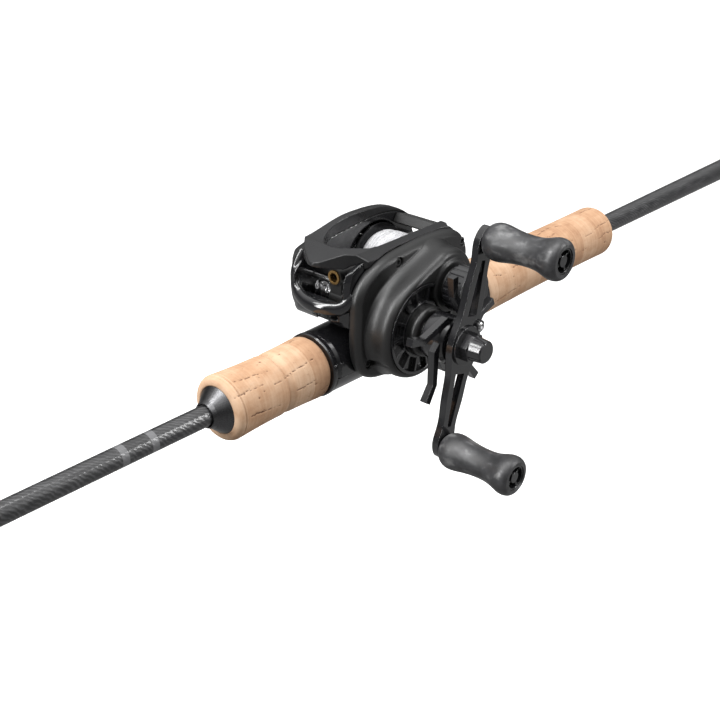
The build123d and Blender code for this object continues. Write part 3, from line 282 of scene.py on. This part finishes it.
def braid():
    t = Tree("braid", (0.55, 0.55, 0.56), 0.45, 0.15)
    fine = t.noise(1.0, 3.0, place=t.mapped((900, 5200, 900)))
    dark = t.noise(1.0, 2.0, place=t.mapped((60, 2600, 60)))
    base = t.ramp(fine, [(0.3, (0.30, 0.30, 0.31)), (0.6, (0.62, 0.62, 0.63)), (0.8, (0.85, 0.85, 0.86))])
    base = t.mix(t.ranged(dark, 0.66, 0.74, 0.0, 0.85), base, (0.09, 0.09, 0.10))
    tone = t.node("Attribute", attribute_name="tone")
    base = t.mix(t.ranged(tone.outputs["Fac"], 0.0, 0.22, 0.75, 0.0), base, (0.10, 0.10, 0.11))
    t.colour(base)
    t.bump(fine, 0.00003)
    return t.done()


MATERIALS = {
    "cork": cork(),
    "carbon_blank": carbon(),
    "gloss_black": painted("gloss_black", (0.006, 0.006, 0.007), (0.010, 0.010, 0.011),
                           0.14, 0.04, coat=0.7, edge=0.0004),
    "matte_black": painted("matte_black", (0.012, 0.012, 0.012), (0.022, 0.022, 0.022), 0.42, 0.06),
    "graphite": painted("graphite", (0.018, 0.018, 0.019), (0.028, 0.028, 0.029),
                        0.30, 0.04, metal=0.4, edge=0.0004),
    "case_black": painted("case_black", (0.011, 0.011, 0.011), (0.018, 0.018, 0.018),
                          0.34, 0.04, metal=0.2, edge=0.0004),
    "gunmetal": metal("gunmetal", (0.075, 0.075, 0.078), (0.12, 0.12, 0.123), 0.32, (60, 2500, 2500)),
    "steel": metal("steel", (0.42, 0.42, 0.43), (0.58, 0.58, 0.58), 0.25, (2500, 60, 2500), edge=0.00006),
    "stainless": metal("stainless", (0.50, 0.50, 0.51), (0.68, 0.68, 0.68), 0.24,
                       (2500, 60, 2500), edge=0.00006),
    "brass": metal("brass", (0.55, 0.36, 0.14), (0.75, 0.52, 0.22), 0.28, (2500, 60, 2500)),
    "gold_ceramic": painted("gold_ceramic", (0.34, 0.20, 0.07), (0.50, 0.31, 0.12),
                            0.28, 0.05, metal=0.85, edge=0.0001),
    "spool_alloy": painted("spool_alloy", (0.010, 0.010, 0.011), (0.02, 0.02, 0.021),
                           0.16, 0.05, metal=0.6, edge=0.0002),
    "braid": braid(),
    "grip_resin": rubber_knob(),
    "soft_rubber": painted("soft_rubber", (0.012, 0.012, 0.012), (0.024, 0.024, 0.024), 0.6, 0.06),
    "guide_ceramic": painted("guide_ceramic", (0.02, 0.02, 0.022), (0.04, 0.04, 0.042),
                             0.12, 0.03, coat=0.5, edge=0.0002),
    "thread": thread(),
    "drag_cloth": painted("drag_cloth", (0.05, 0.048, 0.045), (0.10, 0.095, 0.09),
                          0.85, 0.05, grain=3500, bump=0.00006),
}


def paint_nodes():
    for name, obj in NODES.items():
        for slot in obj.material_slots:
            key = slot.material.name.split(".")[0] if slot.material else ""
            if key in MATERIALS:
                slot.material = MATERIALS[key]
        if not obj.material_slots:
            print("no material slot on", name)


# ---- camera, light and floor -------------------------------------------------------------------------------
FLOOR_R, FLOOR_Z = 14, -0.30


def look(position, azimuth, elevation, roll):
    a, e = math.radians(azimuth), math.radians(elevation)
    back = Vector((math.sin(a) * math.cos(e), -math.cos(a) * math.cos(e), math.sin(e)))
    right = Vector((math.cos(a), math.sin(a), 0))
    turn = Matrix((right, back.cross(right), back)).transposed().to_4x4()
    return Matrix.Translation(position) @ turn @ Matrix.Rotation(math.radians(roll), 4, "Z")


def make_camera():
    data = bpy.data.cameras.new("view")
    data.sensor_width, data.lens = 36, 60.35
    data.clip_start, data.clip_end = 0.01, 60
    camera = bpy.data.objects.new("view", data)
    SCENE.collection.objects.link(camera)
    camera.matrix_world = look((-0.3852 - STATION, -0.3219, 0.2313), -48.02, 26.54, 0.157)
    SCENE.camera = camera


def make_area(name, position, target, size, power):
    data = bpy.data.lights.new(name, "AREA")
    data.shape = "RECTANGLE"
    data.size, data.size_y = size
    data.energy = power
    lamp = bpy.data.objects.new(name, data)
    SCENE.collection.objects.link(lamp)
    lamp.location = position
    lamp.rotation_mode = "QUATERNION"
    lamp.rotation_quaternion = (Vector(position) - Vector(target)).to_track_quat("Z", "Y")
    lamp.visible_camera = False


def make_world():
    """Soft light from above that fades towards the horizon; the camera itself sees an even pale wall."""
    world = bpy.data.worlds.new("studio")
    SCENE.world = world
    world.use_nodes = True
    tree = world.node_tree
    sky = tree.nodes["Background"]
    place = tree.nodes.new("ShaderNodeTexCoord")
    height = tree.nodes.new("ShaderNodeSeparateXYZ")
    tree.links.new(place.outputs["Generated"], height.inputs[0])
    glow = tree.nodes.new("ShaderNodeValToRGB")
    stops = [(0.0, 0.22), (0.48, 0.16), (0.53, 0.08), (0.66, 0.16), (0.82, 0.85), (1.0, 1.4)]
    while len(glow.color_ramp.elements) < len(stops):
        glow.color_ramp.elements.new(0.5)
    for e, (at, v) in zip(glow.color_ramp.elements, stops):
        e.position = at
        e.color = (v, v, v, 1)
    half = tree.nodes.new("ShaderNodeMath")
    half.operation = "MULTIPLY_ADD"
    half.inputs[1].default_value = half.inputs[2].default_value = 0.5
    tree.links.new(height.outputs[2], half.inputs[0])
    tree.links.new(half.outputs[0], glow.inputs[0])
    tree.links.new(glow.outputs[0], sky.inputs[0])
    pale = tree.nodes.new("ShaderNodeBackground")
    pale.inputs[0].default_value = (0.93, 0.93, 0.93, 1)
    seen = tree.nodes.new("ShaderNodeLightPath")
    either = tree.nodes.new("ShaderNodeMixShader")
    tree.links.new(seen.outputs["Is Camera Ray"], either.inputs[0])
    tree.links.new(sky.outputs[0], either.inputs[1])
    tree.links.new(pale.outputs[0], either.inputs[2])
    tree.links.new(either.outputs[0], tree.nodes["World Output"].inputs[0])


def make_lights():
    """A broad overhead light and three narrow strips that draw the highlights along the rounded edges."""
    sun = bpy.data.lights.new("overhead", "SUN")
    sun.energy, sun.angle = 1.5, math.radians(50)
    lamp = bpy.data.objects.new("overhead", sun)
    SCENE.collection.objects.link(lamp)
    lamp.rotation_euler = (math.radians(14), math.radians(-10), 0)
    middle = (-STATION, 0, 0.02)
    make_area("strip_left", (-STATION - 0.9, 0.25, 0.55), middle, (0.16, 1.2), 12)
    make_area("strip_right", (-STATION + 0.55, -0.8, 0.35), middle, (0.12, 0.9), 6)
    make_area("strip_top", (-STATION - 0.25, 0.15, 0.95), middle, (0.10, 1.4), 6)


def make_floor():
    """A pale floor that looks white but throws little light back up at the glossy parts."""
    floor_mesh = bpy.data.meshes.new("floor")
    bm = bmesh.new()
    bmesh.ops.create_circle(bm, cap_ends=True, segments=96, radius=FLOOR_R)
    bm.to_mesh(floor_mesh)
    bm.free()
    floor = bpy.data.objects.new("floor", floor_mesh)
    floor.location = (-1.0, 0, FLOOR_Z)
    SCENE.collection.objects.link(floor)
    t = Tree("floor_paper", (0.95, 0.95, 0.95), 0.9)
    t.colour(t.ramp(t.noise(2, 2.0), [(0.3, (0.93, 0.93, 0.93)), (0.7, (0.97, 0.97, 0.97))]))
    mat = t.done()
    grey = t.node("BsdfDiffuse")
    grey.inputs[0].default_value = (0.16, 0.16, 0.16, 1)
    seen = t.node("LightPath")
    either = t.node("MixShader")
    t.link(seen.outputs["Is Camera Ray"], either.inputs[0])
    t.link(grey.outputs[0], either.inputs[1])
    t.link(t.bsdf.outputs[0], either.inputs[2])
    t.link(either.outputs[0], t.out.inputs[0])
    floor_mesh.materials.append(mat)


# ---- mesh helpers ------------------------------------------------------------------------------------------
def station(x, y, z):
    """A point given in millimetres from the rod's axis under the reel, in the row frame."""
    return Vector((x * MM - STATION, y * MM, z * MM))


def placed(name, mesh, body, slot, *nodes):
    obj = bpy.data.objects.new(name, mesh)
    SCENE.collection.objects.link(obj)
    mesh.materials.clear()
    mesh.materials.append(MATERIALS[slot])
    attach(obj, body)
    if nodes:
        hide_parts(*nodes)
    return obj


def smooth_shading(mesh):
    mesh.polygons.foreach_set("use_smooth", [True] * len(mesh.polygons))


def grid_mesh(name, points, close_u=True, close_v=True):
    """A mesh from a grid of points [u][v]: v runs round the section, u along it."""
    nu, nv = points.shape[:2]
    verts = points.reshape(-1, 3)
    u = np.arange(nu if close_u else nu - 1)
    v = np.arange(nv if close_v else nv - 1)
    uu, vv = np.meshgrid(u, v, indexing="ij")
    a = uu * nv + vv
    b = ((uu + 1) % nu) * nv + vv
    c = ((uu + 1) % nu) * nv + (vv + 1) % nv
    d = uu * nv + (vv + 1) % nv
    faces = np.stack([a, b, c, d], -1).reshape(-1, 4)
    mesh = bpy.data.meshes.new(name)
    mesh.from_pydata(verts.tolist(), [], faces.tolist())
    mesh.update()
    smooth_shading(mesh)
    return mesh


def face_out(mesh):
    """Turns the mesh's faces outwards."""
    bm = bmesh.new()
    bm.from_mesh(mesh)
    bmesh.ops.recalc_face_normals(bm, faces=bm.faces)
    bm.to_mesh(mesh)
    bm.free()


def evaluated(obj):
    """The object's mesh with its modifiers applied."""
    bpy.context.view_layer.update()
    graph = bpy.context.evaluated_depsgraph_get()
    return bpy.data.meshes.new_from_object(obj.evaluated_get(graph))


def joined(name, *meshes):
    """One mesh that holds all the given ones."""
    bm = bmesh.new()
    for m in meshes:
        bm.from_mesh(m)
    mesh = bpy.data.meshes.new(name)
    bm.to_mesh(mesh)
    bm.free()
    return mesh


def melted(name, mesh, voxel, rounds, keep=0.4):
    """One closed skin round the mesh, its edges rounded as a casting's are."""
    obj = bpy.data.objects.new("work", mesh)
    SCENE.collection.objects.link(obj)
    remesh = obj.modifiers.new("skin", "REMESH")
    remesh.mode = "VOXEL"
    remesh.voxel_size = voxel
    soft = obj.modifiers.new("soft", "SMOOTH")
    soft.iterations = rounds
    soft.factor = 0.5
    fewer = obj.modifiers.new("fewer", "DECIMATE")
    fewer.ratio = keep
    out = evaluated(obj)
    bpy.data.objects.remove(obj)
    out.name = name
    smooth_shading(out)
    return out


def cut(mesh, tool, operation="INTERSECT"):
    """The mesh cut by a closed tool mesh."""
    a = bpy.data.objects.new("work", mesh)
    b = bpy.data.objects.new("tool", tool)
    for o in (a, b):
        SCENE.collection.objects.link(o)
    cutter = a.modifiers.new("cut", "BOOLEAN")
    cutter.operation = operation
    cutter.object = b
    cutter.solver = "EXACT"
    out = evaluated(a)
    for o in (a, b):
        bpy.data.objects.remove(o)
    return out


def loft(name, rings):
    """A closed solid through rings of points, capped at both ends."""
    points = np.array(rings)
    mesh = grid_mesh(name, points, close_u=False)
    bm = bmesh.new()
    bm.from_mesh(mesh)
    bm.verts.ensure_lookup_table()
    n = points.shape[1]
    bm.faces.new([bm.verts[i] for i in range(n)])
    last = len(bm.verts) - n
    bm.faces.new([bm.verts[last + i] for i in range(n)])
    bmesh.ops.recalc_face_normals(bm, faces=bm.faces)
    bm.to_mesh(mesh)
    bm.free()
    return mesh


def tube(name, path, radii, sides, squash):
    """A bar along a path of points, with a radius for each, squashed or drawn out upwards."""
    path = [Vector(p) for p in path]
    rings = []
    frame_up = Vector((0, 0, 1))
    n = len(path)
    for i, p in enumerate(path):
        along = path[min(i + 1, n - 1)] - path[max(i - 1, 0)]
        along.normalize()
        side = along.cross(frame_up)
        if side.length < 0.05:
            side = along.cross(Vector((1, 0, 0)))
        side.normalize()
        up = side.cross(along)
        rings.append([p + radii[i] * (math.cos(t) * side + squash * math.sin(t) * up)
                      for t in (TURN * k / sides for k in range(sides))])
    return loft(name, rings)


def spline(points, count, closed=False):
    """Points evenly spaced on a smooth curve through the given ones."""
    pts = [np.array(p, float) for p in points]
    n = len(pts)
    out = []
    spans = n if closed else n - 1
    for s in range(spans):
        p1, p2 = pts[s], pts[(s + 1) % n]
        p0 = pts[(s - 1) % n] if closed or s else 2 * p1 - p2
        p3 = pts[(s + 2) % n] if closed or s < spans - 1 else 2 * p2 - p1
        for k in range(24):
            t = k / 24
            out.append(0.5 * (2 * p1 + (p2 - p0) * t + (2 * p0 - 5 * p1 + 4 * p2 - p3) * t ** 2
                              + (3 * p1 - p0 - 3 * p2 + p3) * t ** 3))
    if not closed:
        out.append(pts[-1])
    out = np.array(out)
    loop = np.vstack([out, out[:1]]) if closed else out
    run = np.concatenate([[0], np.cumsum(np.linalg.norm(np.diff(loop, axis=0), axis=1))])
    where = np.linspace(0, run[-1], count, endpoint=not closed)
    return np.stack([np.interp(where, run, loop[:, i]) for i in range(out.shape[1])], 1)


# ---- cork grips --------------------------------------------------------------------------------------------
def profile_of(node):
    """Outer radius of a turned CAD node along the rod, as (x, radius) arrays, from its own mesh."""
    mesh = NODES[node].data
    co = np.zeros(len(mesh.vertices) * 3)
    mesh.vertices.foreach_get("co", co)
    co = co.reshape(-1, 3)
    r = np.hypot(co[:, 1], co[:, 2])
    x0, x1 = co[:, 0].min(), co[:, 0].max()
    keep = r > r.max() * 0.35
    xs = np.round(co[keep, 0], 5)
    rs = r[keep]
    best = {}
    for x, q in zip(xs, rs):
        best[x] = max(best.get(x, 0), q)
    x = np.array(sorted(best))
    y = np.array([best[v] for v in x])
    top = y > 0.72 * y.max()
    return x[top], y[top], x0, x1


def crack_field(x, theta, radius, x0, x1, rng, count):
    """How deep the cork is split at each place: wandering cracks along the rod, and small round pits."""
    depth = np.zeros((len(x), len(theta)))
    girth = TURN * radius
    for _ in range(count):
        cx, ct = rng.uniform(x0, x1), rng.uniform(0, TURN)
        first = math.floor(cx / CORK_RING) * CORK_RING
        start = max(x0 + 0.0008, first + rng.uniform(-0.002, 0.004))
        length = rng.uniform(0.0035, 0.0125) * (2.2 if rng.random() < 0.35 else 1.0)
        end = min(start + length, x1 - 0.0008)
        width = rng.uniform(0.00012, 0.00034)
        steps = np.linspace(0, 1, 9)
        wander = np.cumsum(rng.normal(0, 0.00035, 9))
        inside = (x >= start) & (x <= end)
        if inside.sum() < 2:
            continue
        t = (x[inside] - start) / (end - start)
        middle = ct * radius + np.interp(t, steps, wander) + (x[inside] - start) * rng.uniform(-0.12, 0.12)
        ragged = width * (0.35 + 0.9 * np.abs(np.sin(t * rng.uniform(9, 25) + rng.uniform(0, 6)))) * np.sin(
            np.clip(t, 0.03, 0.97) * math.pi) ** 0.4
        away = (theta[None, :] * radius - middle[:, None] + girth / 2) % girth - girth / 2
        d = np.clip(1.25 - np.abs(away) / ragged[:, None], 0, 1) * rng.uniform(0.6, 1.0)
        depth[inside] = np.maximum(depth[inside], d)
    for _ in range(count * 2):
        cx, ct = rng.uniform(x0, x1), rng.uniform(0, TURN)
        size = rng.uniform(0.00018, 0.00048)
        away = (theta[None, :] - ct + math.pi) % TURN - math.pi
        d = np.hypot((x[:, None] - cx) / rng.uniform(0.8, 2.2), away * radius) / size
        depth = np.maximum(depth, np.clip(1.3 - d, 0, 1) * rng.uniform(0.35, 0.9))
    return depth


def cork_grip(name, node, body, inner, seed, cracks, step=0.00034):
    """A grip glued up from cork rings: fine seams, splits and pits in its surface; the splits and pits are
    also darkened by their depth as painted shade, and the seams get faint dark joint lines.
    """
    rng = np.random.default_rng(seed)
    px, pr, x0, x1 = profile_of(node)
    radius = pr.max()
    x = np.arange(px.min(), px.max(), step)
    x = np.append(x, px.max())
    theta = np.arange(0, TURN, step / radius * 1.15)
    r = np.interp(x, px, pr)
    deep = crack_field(x, theta, radius, x0, x1, rng, cracks)
    seams = np.abs((x / CORK_RING - np.round(x / CORK_RING)) * CORK_RING)
    seam = np.clip(1 - seams / 0.00022, 0, 1)[:, None] * 0.16
    edge = np.clip(np.minimum(x - x.min(), x.max() - x) / 0.0006, 0, 1)[:, None]
    # The crack and pit depth also sets painted shade in the colour; the seam share is the dark joint between
    # the cork rings.
    crack_shade_and_seam_mask = np.maximum(deep, seam) * edge
    surface = r[:, None] - (deep * 0.00042 + seam * 0.00035) * edge
    rows = [np.stack([np.repeat(x[i], len(theta)), surface[i] * np.cos(theta), surface[i] * np.sin(theta)], 1)
            for i in range(len(x))]
    crack_shade_and_seam_rows = [crack_shade_and_seam_mask[i] for i in range(len(x))]
    for ix, ir in inner:
        rows.append(np.stack([np.full(len(theta), ix), ir * np.cos(theta), ir * np.sin(theta)], 1))
        crack_shade_and_seam_rows.append(np.zeros(len(theta)))
    mesh = grid_mesh(name, np.array(rows))
    layer = mesh.attributes.new("crack_shade_and_seam", "FLOAT", "POINT")
    layer.data.foreach_set("value", np.concatenate(crack_shade_and_seam_rows))
    face_out(mesh)
    smooth_shading(mesh)
    return placed(name, mesh, body, "cork", node)


def make_grips():
    lo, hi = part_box("foregrip")
    inner = [(hi.x, 0.0112), (hi.x - 0.0248, 0.0112), (hi.x - 0.0248, 0.0092), (lo.x + 0.003, 0.0092),
             (lo.x + 0.003, 0.0102), (lo.x, 0.0102)]
    cork_grip("cork_fore_grip", "foregrip", "fore_grip", inner, 11, 26)
    bore = 0.0064
    for node, seed, cracks in (("rear_grip", 5, 60), ("butt_grip", 8, 30)):
        lo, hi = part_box(node)
        cork_grip("cork_" + node, node, "rod", [(hi.x, bore), (lo.x, bore)], seed, cracks, 0.00038)


# ---- line, worm and thumb bar ------------------------------------------------------------------------------
CORE_BORE = 0.0096        # the wound line's inner radius


def wound_line():
    """Braid on the spool: close turns laid side by side, with a few crossing turns on top."""
    lo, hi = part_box("line_pack")
    cx, cz = (lo.x + hi.x) / 2, (lo.z + hi.z) / 2
    half = (hi.y - lo.y) / 2
    mid = (hi.y + lo.y) / 2
    top = (hi.z - lo.z) / 2
    rng = np.random.default_rng(3)

    def crown(y):
        return top - 0.00055 - 0.0009 * np.abs((y - mid) / half) ** 3

    def strand(y0, y1, turns, lift, thick, wobble):
        count = int(turns * 84)
        t = np.linspace(0, 1, count)
        y = y0 + (y1 - y0) * t + wobble * np.sin(t * turns * 0.73 * TURN + rng.uniform(0, 6))
        angle = t * turns * TURN + rng.uniform(0, 6)
        uneven = np.interp(t * turns, np.arange(int(turns) + 2), rng.normal(0, 0.00004, int(turns) + 2))
        r = crown(y) + lift + uneven
        centre = np.stack([cx + r * np.cos(angle), y, cz + r * np.sin(angle)], 1)
        out = np.stack([np.cos(angle), np.zeros(count), np.sin(angle)], 1)
        side = np.tile([0, 1.0, 0], (count, 1))
        rows = [centre + thick * (math.cos(a) * out + 1.15 * math.sin(a) * side)
                for a in (TURN * k / 5 for k in range(5))]
        pts = np.stack(rows, 1)
        tone = np.interp(t * turns, np.arange(int(turns) + 2), rng.uniform(0, 1, int(turns) + 2))
        return pts, np.repeat(tone, 5)

    span = half - 0.0009
    layers = [strand(mid - span, mid + span, int(2 * span / 0.00036), 0.0, 0.00019, 0.00003)]
    for k, (a, b, n) in enumerate(((-0.95, 0.9, 4), (0.95, -0.9, 5), (-0.5, 0.95, 3), (0.7, -0.95, 4))):
        layers.append(strand(mid + a * span, mid + b * span, n, 0.00022 + 0.00005 * (k % 2), 0.00016, 0.0001))
    verts, faces, tones = [], [], []
    for pts, tone in layers:
        base = len(verts)
        n = len(pts)
        verts.extend(pts.reshape(-1, 3).tolist())
        tones.extend(tone.tolist())
        i = np.arange(n - 1)[:, None] * 5
        j = np.arange(5)[None, :]
        quads = np.stack([i + j, i + (j + 1) % 5, i + 5 + (j + 1) % 5, i + 5 + j], -1).reshape(-1, 4) + base
        faces.extend(quads.tolist())
        faces.append([base + k for k in range(5)][::-1])
        faces.append([base + (n - 1) * 5 + k for k in range(5)])
    core_y = np.linspace(lo.y + 0.0002, hi.y - 0.0002, 24)
    theta = np.linspace(0, TURN, 96, endpoint=False)
    skin = [(y, crown(y) - 0.0001) for y in core_y]
    skin += [(core_y[-1], CORE_BORE), (core_y[0], CORE_BORE)]
    core = [[(cx + r * math.cos(a), y, cz + r * math.sin(a)) for a in theta] for y, r in skin]
    core = np.array(core)
    base = len(verts)
    verts.extend(core.reshape(-1, 3).tolist())
    tones.extend([0.3] * core.shape[0] * core.shape[1])
    nu, nv = core.shape[:2]
    for u in range(nu):
        for v in range(nv):
            faces.append([base + u * nv + v, base + ((u + 1) % nu) * nv + v,
                          base + ((u + 1) % nu) * nv + (v + 1) % nv, base + u * nv + (v + 1) % nv])
    mesh = bpy.data.meshes.new("wound_line")
    mesh.from_pydata(verts, [], faces)
    mesh.update()
    layer = mesh.attributes.new("tone", "FLOAT", "POINT")
    layer.data.foreach_set("value", tones)
    face_out(mesh)
    smooth_shading(mesh)
    placed("wound_line", mesh, "spool_group", "braid", "line_pack")


def grooved_worm():
    """The level-wind worm with its two crossing grooves."""
    lo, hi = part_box("worm_shaft")
    cx, cz = (lo.x + hi.x) / 2, (lo.z + hi.z) / 2
    theta = np.linspace(0, TURN, 72, endpoint=False)
    stub, full = 0.0018, 0.0029
    stations = [(lo.y, stub), (lo.y + 0.0039, stub), (lo.y + 0.0039, full), (lo.y + 0.0059, full)]
    start, end = lo.y + 0.0059, hi.y - 0.0018
    ys = np.arange(start, end, 0.00016)
    pitch, low, high = 0.0062, 0.0017, 0.00288
    rows = [(y, np.full(len(theta), r)) for y, r in stations]
    for y in ys:
        r = np.full(len(theta), high)
        for sign in (1, -1):
            phase = (y - start) / pitch - sign * theta / TURN
            off = np.abs(phase - np.round(phase)) * pitch
            r = np.minimum(r, low + (high - low) * np.clip((off - 0.00062) / 0.00035, 0, 1) ** 1.5)
        fade = np.clip(min(y - start, end - y) / 0.0008, 0, 1)
        rows.append((y, high + (r - high) * fade))
    rows += [(y, np.full(len(theta), full)) for y in (end, hi.y)]
    rings = [[(cx + q * math.cos(a), y, cz + q * math.sin(a)) for q, a in zip(r, theta)] for y, r in rows]
    placed("grooved_worm", loft("grooved_worm", rings), "worm", "steel", "worm_shaft")


def thumb_ribs():
    """The fine grid of ribs on the thumb bar's face."""
    lo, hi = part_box("thumb_bar")
    y0, y1 = -0.0112, 0.0112
    bm = bmesh.new()
    a, b = station(10.5, 0, 47.15), station(16.5, 0, 45.55)
    along = (b - a)
    length = along.length
    along.normalize()
    up = Vector((-along.z, 0, along.x))
    if up.z < 0:
        up = -up
    cells_y, cells_x = 16, 6
    wy, wx = (y1 - y0) / cells_y, length / cells_x
    for i in range(cells_x):
        for j in range(cells_y):
            centre = a + along * (wx * (i + 0.5)) + Vector((0, y0 + wy * (j + 0.5), 0))
            made = bmesh.ops.create_cube(bm, size=1)["verts"]
            for v in made:
                share, height = (0.66, 0.00028) if v.co.z > 0 else (0.9, -0.0004)
                across = Vector((0, v.co.y * wy * share, 0))
                v.co = centre + along * (v.co.x * wx * share) + across + up * height
    mesh = bpy.data.meshes.new("thumb_ribs")
    bm.to_mesh(mesh)
    bm.free()
    placed("thumb_ribs", mesh, "thumb_lever", "matte_black")


# ---- cast covers -------------------------------------------------------------------------------------------
def cast_cover(node, body, slot, voxel=0.00028, rounds=7, keep=0.35, tool=None):
    mesh = NODES[node].data.copy()
    if tool is not None:
        mesh = cut(mesh, tool)
    placed("cast_" + node, melted(node, mesh, voxel, rounds, keep), body, slot, node)


RIM_STEPS = 110
NOSE = [(-48.5, -16.5), (-53.8, -10), (-57.0, 0), (-56.8, 8), (-54.0, 15), (-47, 22.5), (-36, 28.5)]


def pebble():
    """The envelope of the reel's nose and palm side: full at mid height, rolled in above and below."""
    rings = []
    front = spline(NOSE, 60)
    rear = spline([(-36, 28.5), (-10, 31), (16, 28), (27, 18), (29, 0), (27, -14), (20, -17.5), (-20, -17.5),
                   (-48.5, -16.5)], 90)[1:-1]
    plan = np.vstack([front, rear])
    centre = np.array([-14.0, 2.0])
    levels = ((4, 13), (9, 8.6), (13, 5.6), (17, 3.2), (21, 1.4), (25, 0.4), (29, 0.0), (34, 0.0), (39, 0.6),
              (43, 1.8), (47, 4.2), (50, 7.4), (54, 13))
    for z, inset in levels:
        ring = []
        for p in plan:
            away = p - centre
            reach = np.hypot(*away)
            front_share = max(0.0, min(1.0, (-20 - p[0]) / 20)) if p[1] < 16 else 1.0
            front_share = max(front_share, max(0.0, min(1.0, (p[1] - 14.5) / 6)))
            q = centre + away * (1 - inset * front_share / reach)
            ring.append(station(q[0], q[1], z))
        rings.append(ring)
    return loft("pebble", rings)


def slanted_slot():
    """The gap behind the nose's lower bar, which opens downwards and back."""
    way = Vector((0.664, 0.598, -0.447))
    outline = spline([(-9.2, 22.2), (-6, 22.0), (-2.6, 22.3), (-1.9, 23.3), (-2.8, 24.3), (-6, 24.6),
                      (-9.0, 24.0)], 24, True)
    rings = [[station(-56.5 + way.x * t, y + way.y * t, z + way.z * t) for y, z in outline]
             for t in (-3.0, 16.0)]
    return loft("slot", rings)


def nose_rim():
    """The rounded band round the line window, from the gear side, along the lip and up the palm side."""
    path = spline([(-47.8, -14.2, 33.0), (-50.0, -13.4, 29.6), (-52.6, -10.6, 27.4), (-54.9, -5.6, 26.8),
                   (-55.9, 0, 26.9), (-55.6, 5.5, 27.4), (-54.4, 10.4, 29.0), (-53.2, 13.4, 32.2),
                   (-52.0, 14.6, 36.5), (-49.8, 14.8, 41.0), (-46.6, 14.6, 45.0)], RIM_STEPS)
    radii = [0.0021 + 0.0005 * math.sin(math.pi * min(1.0, k / 80)) for k in range(RIM_STEPS)]
    return tube("rim", [station(*p) for p in path], radii, sides=20, squash=1.25)


def make_covers():
    envelope = pebble()
    cast_cover("gear_case", "rod", "case_black", rounds=8)
    cast_cover("palm_plate", "rod", "graphite", tool=envelope)
    frame_mesh = cut(NODES["frame"].data.copy(), envelope)
    frame_mesh = melted("nose", joined("nose", frame_mesh, nose_rim()), 0.0003, 3, 1.0)
    frame_mesh = cut(frame_mesh, slanted_slot(), "DIFFERENCE")
    placed("cast_frame", melted("frame", frame_mesh, 0.00026, 4, 0.4), "rod", "gloss_black", "frame")
    cast_cover("front_hood", "rod", "graphite", rounds=5)


SCENE.view_settings.view_transform = "Standard"
make_camera()
make_world()
make_lights()
make_floor()
paint_nodes()
make_grips()
wound_line()
grooved_worm()
thumb_ribs()
make_covers()
